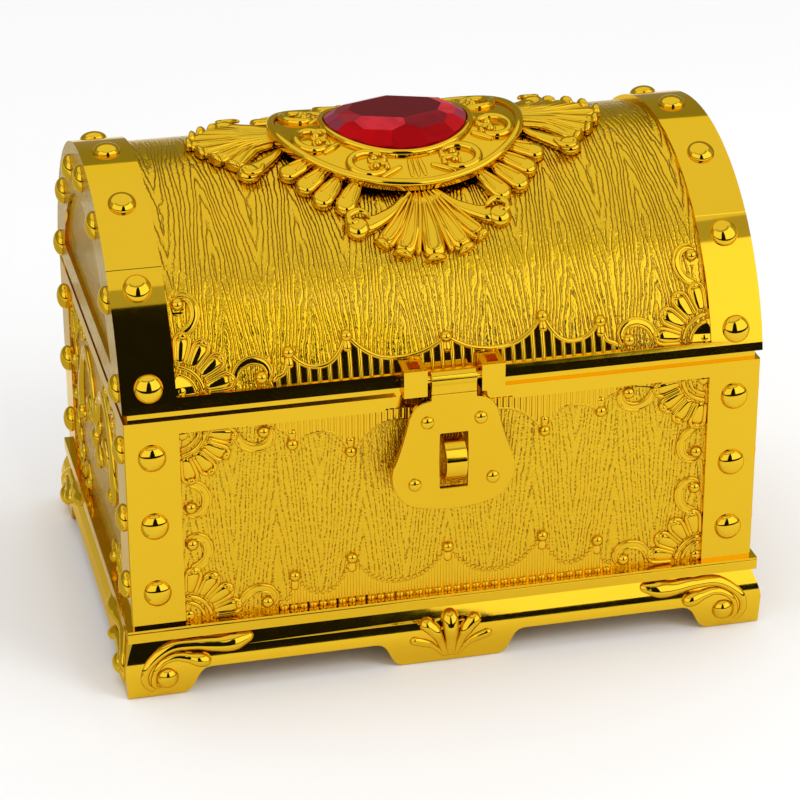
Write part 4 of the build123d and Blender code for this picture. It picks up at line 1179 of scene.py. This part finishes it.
def fanMarks(sign):
    # seven lobes with fine veins and a stem between each two, then an arm and a curl above and below
    look, marks = crestLook["fan"], []
    root, step = look["root"], look["step"]
    for i in range(-3, 4):
        reach = look["reach"] - abs(i) * look["shorter"]
        (tipU, tipV), (bendU, bendV) = onCircle(reach, step * i), onCircle(reach, step * i * 0.8)
        a, b = Vector((sign * root, i * 0.9)), Vector((sign * (root + bendU * 0.5), bendV * 0.46))
        c = Vector((sign * (root + tipU), tipV))
        marks += lobeMarks(a, b, c, look["width"], tongue=False)
        for aside in (-0.9, 0.9):
            out = Vector((-(c - b).y, (c - b).x)).normalized() * aside
            marks.append(stroke([a, b + out * 0.5, c.lerp(b, 0.2) + out], (0.3, 0.4, 0.3), 1.4, 1.35))
        if i < 3:
            u, v = onCircle(1, step * (i + 0.5))
            end = (root + (reach - 4.0) * u, (reach - 3.0) * v)
            stem = flipped([(root, (i + 0.5) * 0.9), (root + 11, 10.5 * v), end], sign)
            marks.append(stroke(stem, (0.4, 0.65, 0.5), 1.2, 0.7))
    for way in both:
        marks += armMarks(crestLook["fanArm"], sign, way)
    return marks


def clusterMarks(signU, signV):
    # four flat-topped leaves with steep ends
    top, marks = crestLook["cluster"], []
    for u, s in crestLook["clusters"]:
        tip = Vector((signU * u, signV * s))
        way = tip.normalized()
        side = Vector((-way.y, way.x))
        spine = [tip - way * 11.0, tip - way * 5.0, tip]
        marks.append(stroke(spine, (1.9, 2.6, 2.95), 2.0, pitch=0.8, cap=top))
        for turn in (-1, 1):
            start, end = tip - way * 9.5 + side * turn * 0.5, tip - way * 3.6 + side * turn * 1.3
            marks.append(stroke([start, end], (0.25, 0.4, 0.25), 0.9, top - 0.05))
    return marks


palmette = palmetteMarks()
crestMarks = palmette + mirrored(palmette, 1, -1)
for sign in both:
    crestMarks += fanMarks(sign)
    for signV in both:
        crestMarks += clusterMarks(sign, signV)
carve(
    "crestLeaves", crestMarks, vaultSurface(crestLook["base"]), "lid",
    nodes=["crest_leaves"], sink=-0.1, sides=14,
)


# medallion: half sizes along and across the lid, and heights as radii from the middle of the barrel

medallionLook = {
    "half": (32.6, 28.8),
    "collar": (19.9, 18.4),
    "bottom": 57.5,
    "edge": 0.7,
    "field": 58.9,
    "rimWidth": 2.2,
    "rimRise": 1.2,
    "collarTop": 60.3,
    "collarWall": 1.65,
    "pocket": 58.0,
    "hole": (0.4, 0.4),
    "segments": 128,
    "bars": {"offsets": (-1.3, 0.0, 1.3), "outer": 25.6, "inner": 19.2},
    "cells": ((63, 4.0), (117, 4.0), (22, 4.1), (158, 4.1), (-63, 4.0), (-117, 4.0), (-22, 4.1), (-158, 4.1)),
}


def medallionRings():
    # ovals of the plate in order: under edge, rolled rim, sagging field, collar round the gem, pocket and hole
    look = medallionLook
    half, collar, field, top, rim = [look[key] for key in ("half", "collar", "field", "collarTop", "rimWidth")]
    turns = [math.pi * i / 8 for i in range(9)]
    rings = [(half, 0.0, look["bottom"]), (half, 0.0, look["bottom"] + look["edge"])]
    for turn in turns:
        rings.append((half, rim / 2 * (1 - math.cos(turn)), field + look["rimRise"] * math.sin(turn) ** 0.8))
    for share in (0.25, 0.5, 0.75):
        rings.append(([a - rim + (c - (a - rim)) * share for a, c in zip(half, collar)], 0.0, field))
    for i, turn in enumerate(turns):
        level = field + (top - field) * math.sin(turn) if i < 5 else top - 0.5 * (1 - math.sin(turn))
        rings.append((collar, 0.8 * (1 - math.cos(turn)), level))
    rings += [(collar, look["collarWall"], look["pocket"])]
    return rings + [(look["hole"], 0.0, height) for height in (look["pocket"], look["bottom"])]


def medallionMesh(name):
    segments, place = medallionLook["segments"], vaultSurface(0.0)
    shape, loops = bmesh.new(), []
    for (a, b), inset, radius in medallionRings():
        turns = [math.tau * k / segments for k in range(segments)]
        spots = [place((a - inset) * math.cos(turn), (b - inset) * math.sin(turn), radius) for turn in turns]
        loops.append([shape.verts.new(spot * mm) for spot in spots])
    for first, second in zip(loops, loops[1:] + loops[:1]):
        for k in range(segments):
            after = (k + 1) % segments
            shape.faces.new((first[k], first[after], second[after], second[k]))
    bmesh.ops.recalc_face_normals(shape, faces=shape.faces)
    return smoothMesh(name, shape, 50, [goldRelief])


finishPiece(addObject("medallionPlate", medallionMesh("medallionPlate")), "lid", ["medallion"])


# points of a cell: share of its radius, and degrees from its opening
cellLook = {
    "curl": ((1, 40), (0.92, 18), (0.6, 6), (0.22, 30), (0.3, 88), (0.58, 80)),
    "tail": ((1.36, 74), (1.34, 40), (1.66, 17)),
}


def cellMarks(centreU, centreV, radius, facing, stretch):
    # an open ring whose two ends curl onto two beads, with a tail outside each end
    def at(share, degrees):
        u, v = onCircle(radius * share, degrees + facing)
        return (centreU + stretch[0] * u, centreV + stretch[1] * v)

    marks = [stroke([at(1, a) for a in range(40, 321, 20)], (0.85, 1.15, 1.25, 1.15, 0.85), 1.25)]
    for sign in both:
        curl, tail = [[at(share, sign * turn) for share, turn in cellLook[key]] for key in ("curl", "tail")]
        marks.append(stroke(curl, (0.85, 0.8, 0.72, 0.66, 0.6, 0.45), 1.25))
        marks.append(bead(*at(0.46, sign * 52), 1.05, 1.25, 0.25))
        marks.append(stroke(tail, (0.5, 0.85, 0.65), 1.2))
    return marks


def medallionMarks():
    # a ring of cells half way between rim and collar, and three short bars at the front and the back
    look, marks = medallionLook, []
    reachU, reachV = [(half - 2.4 + collar) / 2 for half, collar in zip(look["half"], look["collar"])]
    for angle, size in look["cells"]:
        u, v = onCircle(1, angle)
        stretch = (1.22, 1.0) if abs(u) < 0.7 else (1.0, 1.15)
        marks += cellMarks(reachU * u, reachV * v, size, 0 if u < 0 else 180, stretch)
    bars = look["bars"]
    for signV in both:
        for offset in bars["offsets"]:
            ends = [(offset * 1.3, signV * bars["outer"]), (offset, signV * bars["inner"])]
            marks.append(stroke(ends, (0.5, 0.7, 0.5), 0.8))
    return marks


carve("medallionScrolls", medallionMarks(), vaultSurface(medallionLook["field"]), "lid", sides=12)


def facetColour(normal):
    # painted reflection and painted shade by facet: dark table, pink stars, violet sides and a bright low band,
    # each darkened by an amount that changes with its bearing and tilt
    tilt = math.degrees(math.acos(min(1.0, normal.z)))
    bearing = math.degrees(math.atan2(normal.x, -normal.y))
    if tilt < 4:
        base, darkest = "table", 0.0
    elif tilt < 24:
        base, darkest = "star", 0.75
    elif tilt < 48:
        base, darkest = ("side", 0.6) if abs(bearing) > 50 else ("band", 0.4)
    else:
        base, darkest = "band", 0.5
    share = darkest * (0.5 + 0.5 * math.sin(bearing * 0.37 + tilt * 1.9))
    return [a + (b - a) * share for a, b in zip(gemLook[base], gemLook["deep"])]


gem = dressNode("gem", "gem", [redGem], bevel=0.12, segments=1)
facetPaintedLights = []
for facet in gem.data.polygons:
    facet.use_smooth = False
    facetPaintedLights += facetColour(facet.normal) * len(facet.loop_indices)
gem.data.attributes.new("facetColour", "FLOAT_COLOR", "CORNER").data.foreach_set("color", facetPaintedLights)
print("crest, medallion and gem made")


# studio

studio = {
    "floor": (linear(250, 250, 250), linear(247, 247, 248)),
    "skyForLight": 0.82,
    # spot and width in metres, power in watts
    "lamps": {"keyLamp": ((0.75, -0.85, 0.95), 0.55, 5.2), "topLamp": ((-0.1, 0.1, 1.5), 0.9, 3.7)},
    "cameraSpot": (-0.16469, -0.68010, 0.37113),
    "cameraAcross": (0.97126, -0.23799, -0.00245),
    "cameraUp": (0.10241, 0.40859, 0.90695),
    "lens": 131.77,
    "aim": 0.06,
    "cardReach": 1.3,
    "cardColumns": 13,
    # what the mirror gold sees round it: brightness, then rows of height and left and right bearing in degrees
    "cards": {
        "softboxRight": (1.6, ((4, 13, 78), (38, 12.5, 78), (50, 10, 78))),
        "softboxLeft": (1.3, ((5, -78, -13), (38, -78, -8), (50, -78, -1))),
        "photographer": (0.012, ((-3, -14, 14), (20, -12, 13), (38, -8, 12.5), (50, -1, 10), (58, 3, 6))),
        "ringAbove": (0.55, ((50, -80, 80), (59, -80, 80))),
        "horizon": (0.012, ((-3, -110, 110), (4, -110, 110))),
        "backWall": (0.34, ((-2, 105, 255), (38, 105, 255))),
        "sideRight": (0.5, ((2, 82, 104), (46, 82, 104))),
        "sideLeft": (0.5, ((2, -104, -82), (46, -104, -82))),
    },
    # what it sees below: brightness, height over the floor, then left, right, near and far in metres
    "floorCards": {
        "darkFloor": (0.012, 0.0006, (-2.5, 2.5, -2.4, -0.52)),
        # painted shade: a grey sheet on the floor to the back left, seen only in reflections
        "paintedFloorShade": (0.62, 0.0004, (-0.60, -0.092, -0.08, 0.60)),
    },
}


def floorFinish():
    material, nodes, place = newFinish("pale_floor")
    colour = nodes.blendColours(nodes.noise(place, 6.0), *studio["floor"])
    surfaceOut(nodes, {"Base Color": colour, "Roughness": 0.9})
    return material


def cardFinish(name, level):
    material, nodes, place = newFinish(name)
    colour = nodes.blendColours(nodes.noise(place, 3.0), grey(1.0), grey(0.94))
    surfaceOut(nodes, {"Color": colour, "Strength": level}, "Emission")
    return material


def addSheet(name, spots, across, material):
    # a sheet for the studio, given row by row
    faces = [
        (first, first + 1, first + across + 1, first + across)
        for first in range(len(spots) - across) if (first + 1) % across
    ]
    mesh = bpy.data.meshes.new(name)
    mesh.from_pydata(spots, [], faces)
    mesh.materials.append(material)
    obj = addObject(name, mesh)
    return obj


def addCard(name, spots, across, level):
    # light or dark that only reflections see
    card = addSheet(name, spots, across, cardFinish(name, level))
    card.visible_camera = card.visible_diffuse = card.visible_shadow = card.visible_transmission = False


addSheet("floor", [(x, y, -0.0002) for y in (-4, 4) for x in (-4, 4)], 2, floorFinish())
columns = studio["cardColumns"]
for number, (name, (level, rows)) in enumerate(studio["cards"].items()):
    spots = []
    for height, left, right in rows:
        away, rise = onCircle(studio["cardReach"] - 0.02 * number, height)
        for c in range(columns):
            ahead, aside = onCircle(away, left + (right - left) * c / (columns - 1))
            spots.append((aside, -ahead, rise + studio["aim"]))
    addCard(name, spots, columns, level)
for name, (level, lift, (left, right, near, far)) in studio["floorCards"].items():
    addCard(name, [(x, y, lift) for y in (near, far) for x in (left, right)], 2, level)

# square lamps that shine at the middle of the chest and aren't reflected
for name, (spot, size, power) in studio["lamps"].items():
    lamp = bpy.data.lights.new(name, "AREA")
    lamp.shape, lamp.size, lamp.energy = "SQUARE", size, power
    obj = addObject(name, lamp)
    obj.location = spot
    obj.rotation_euler = (Vector((0, 0, studio["aim"])) - Vector(spot)).to_track_quat("-Z", "Y").to_euler()
    obj.visible_camera = obj.visible_glossy = False

world = bpy.data.worlds.new("studioRoom")
bpy.context.scene.world = world
world.use_nodes = True
world.node_tree.nodes.clear()
sky = Nodes(world.node_tree)
rays = world.node_tree.nodes.new("ShaderNodeLightPath")
seen = Wire(world.node_tree, rays.outputs["Is Camera Ray"])
for label in ("Is Glossy Ray", "Is Transmission Ray"):
    seen = seen.math("MAXIMUM", Wire(world.node_tree, rays.outputs[label]))
strength = seen * (1.0 - studio["skyForLight"]) + studio["skyForLight"]
sky.shade("OutputWorld", {"Surface": sky.shade("Background", {"Color": grey(1.0), "Strength": strength})})

lens = bpy.data.cameras.new("photoCamera")
lens.lens, lens.sensor_width, lens.clip_end = studio["lens"], 36.0, 50.0
camera = addObject("photoCamera", lens)
across, upward = Vector(studio["cameraAcross"]), Vector(studio["cameraUp"])
turned = Matrix((across, upward, across.cross(upward))).transposed().to_4x4()
camera.matrix_world = Matrix.Translation(studio["cameraSpot"]) @ turned
bpy.context.scene.camera = camera
bpy.context.scene.view_settings.view_transform = "Standard"
print("studio set")
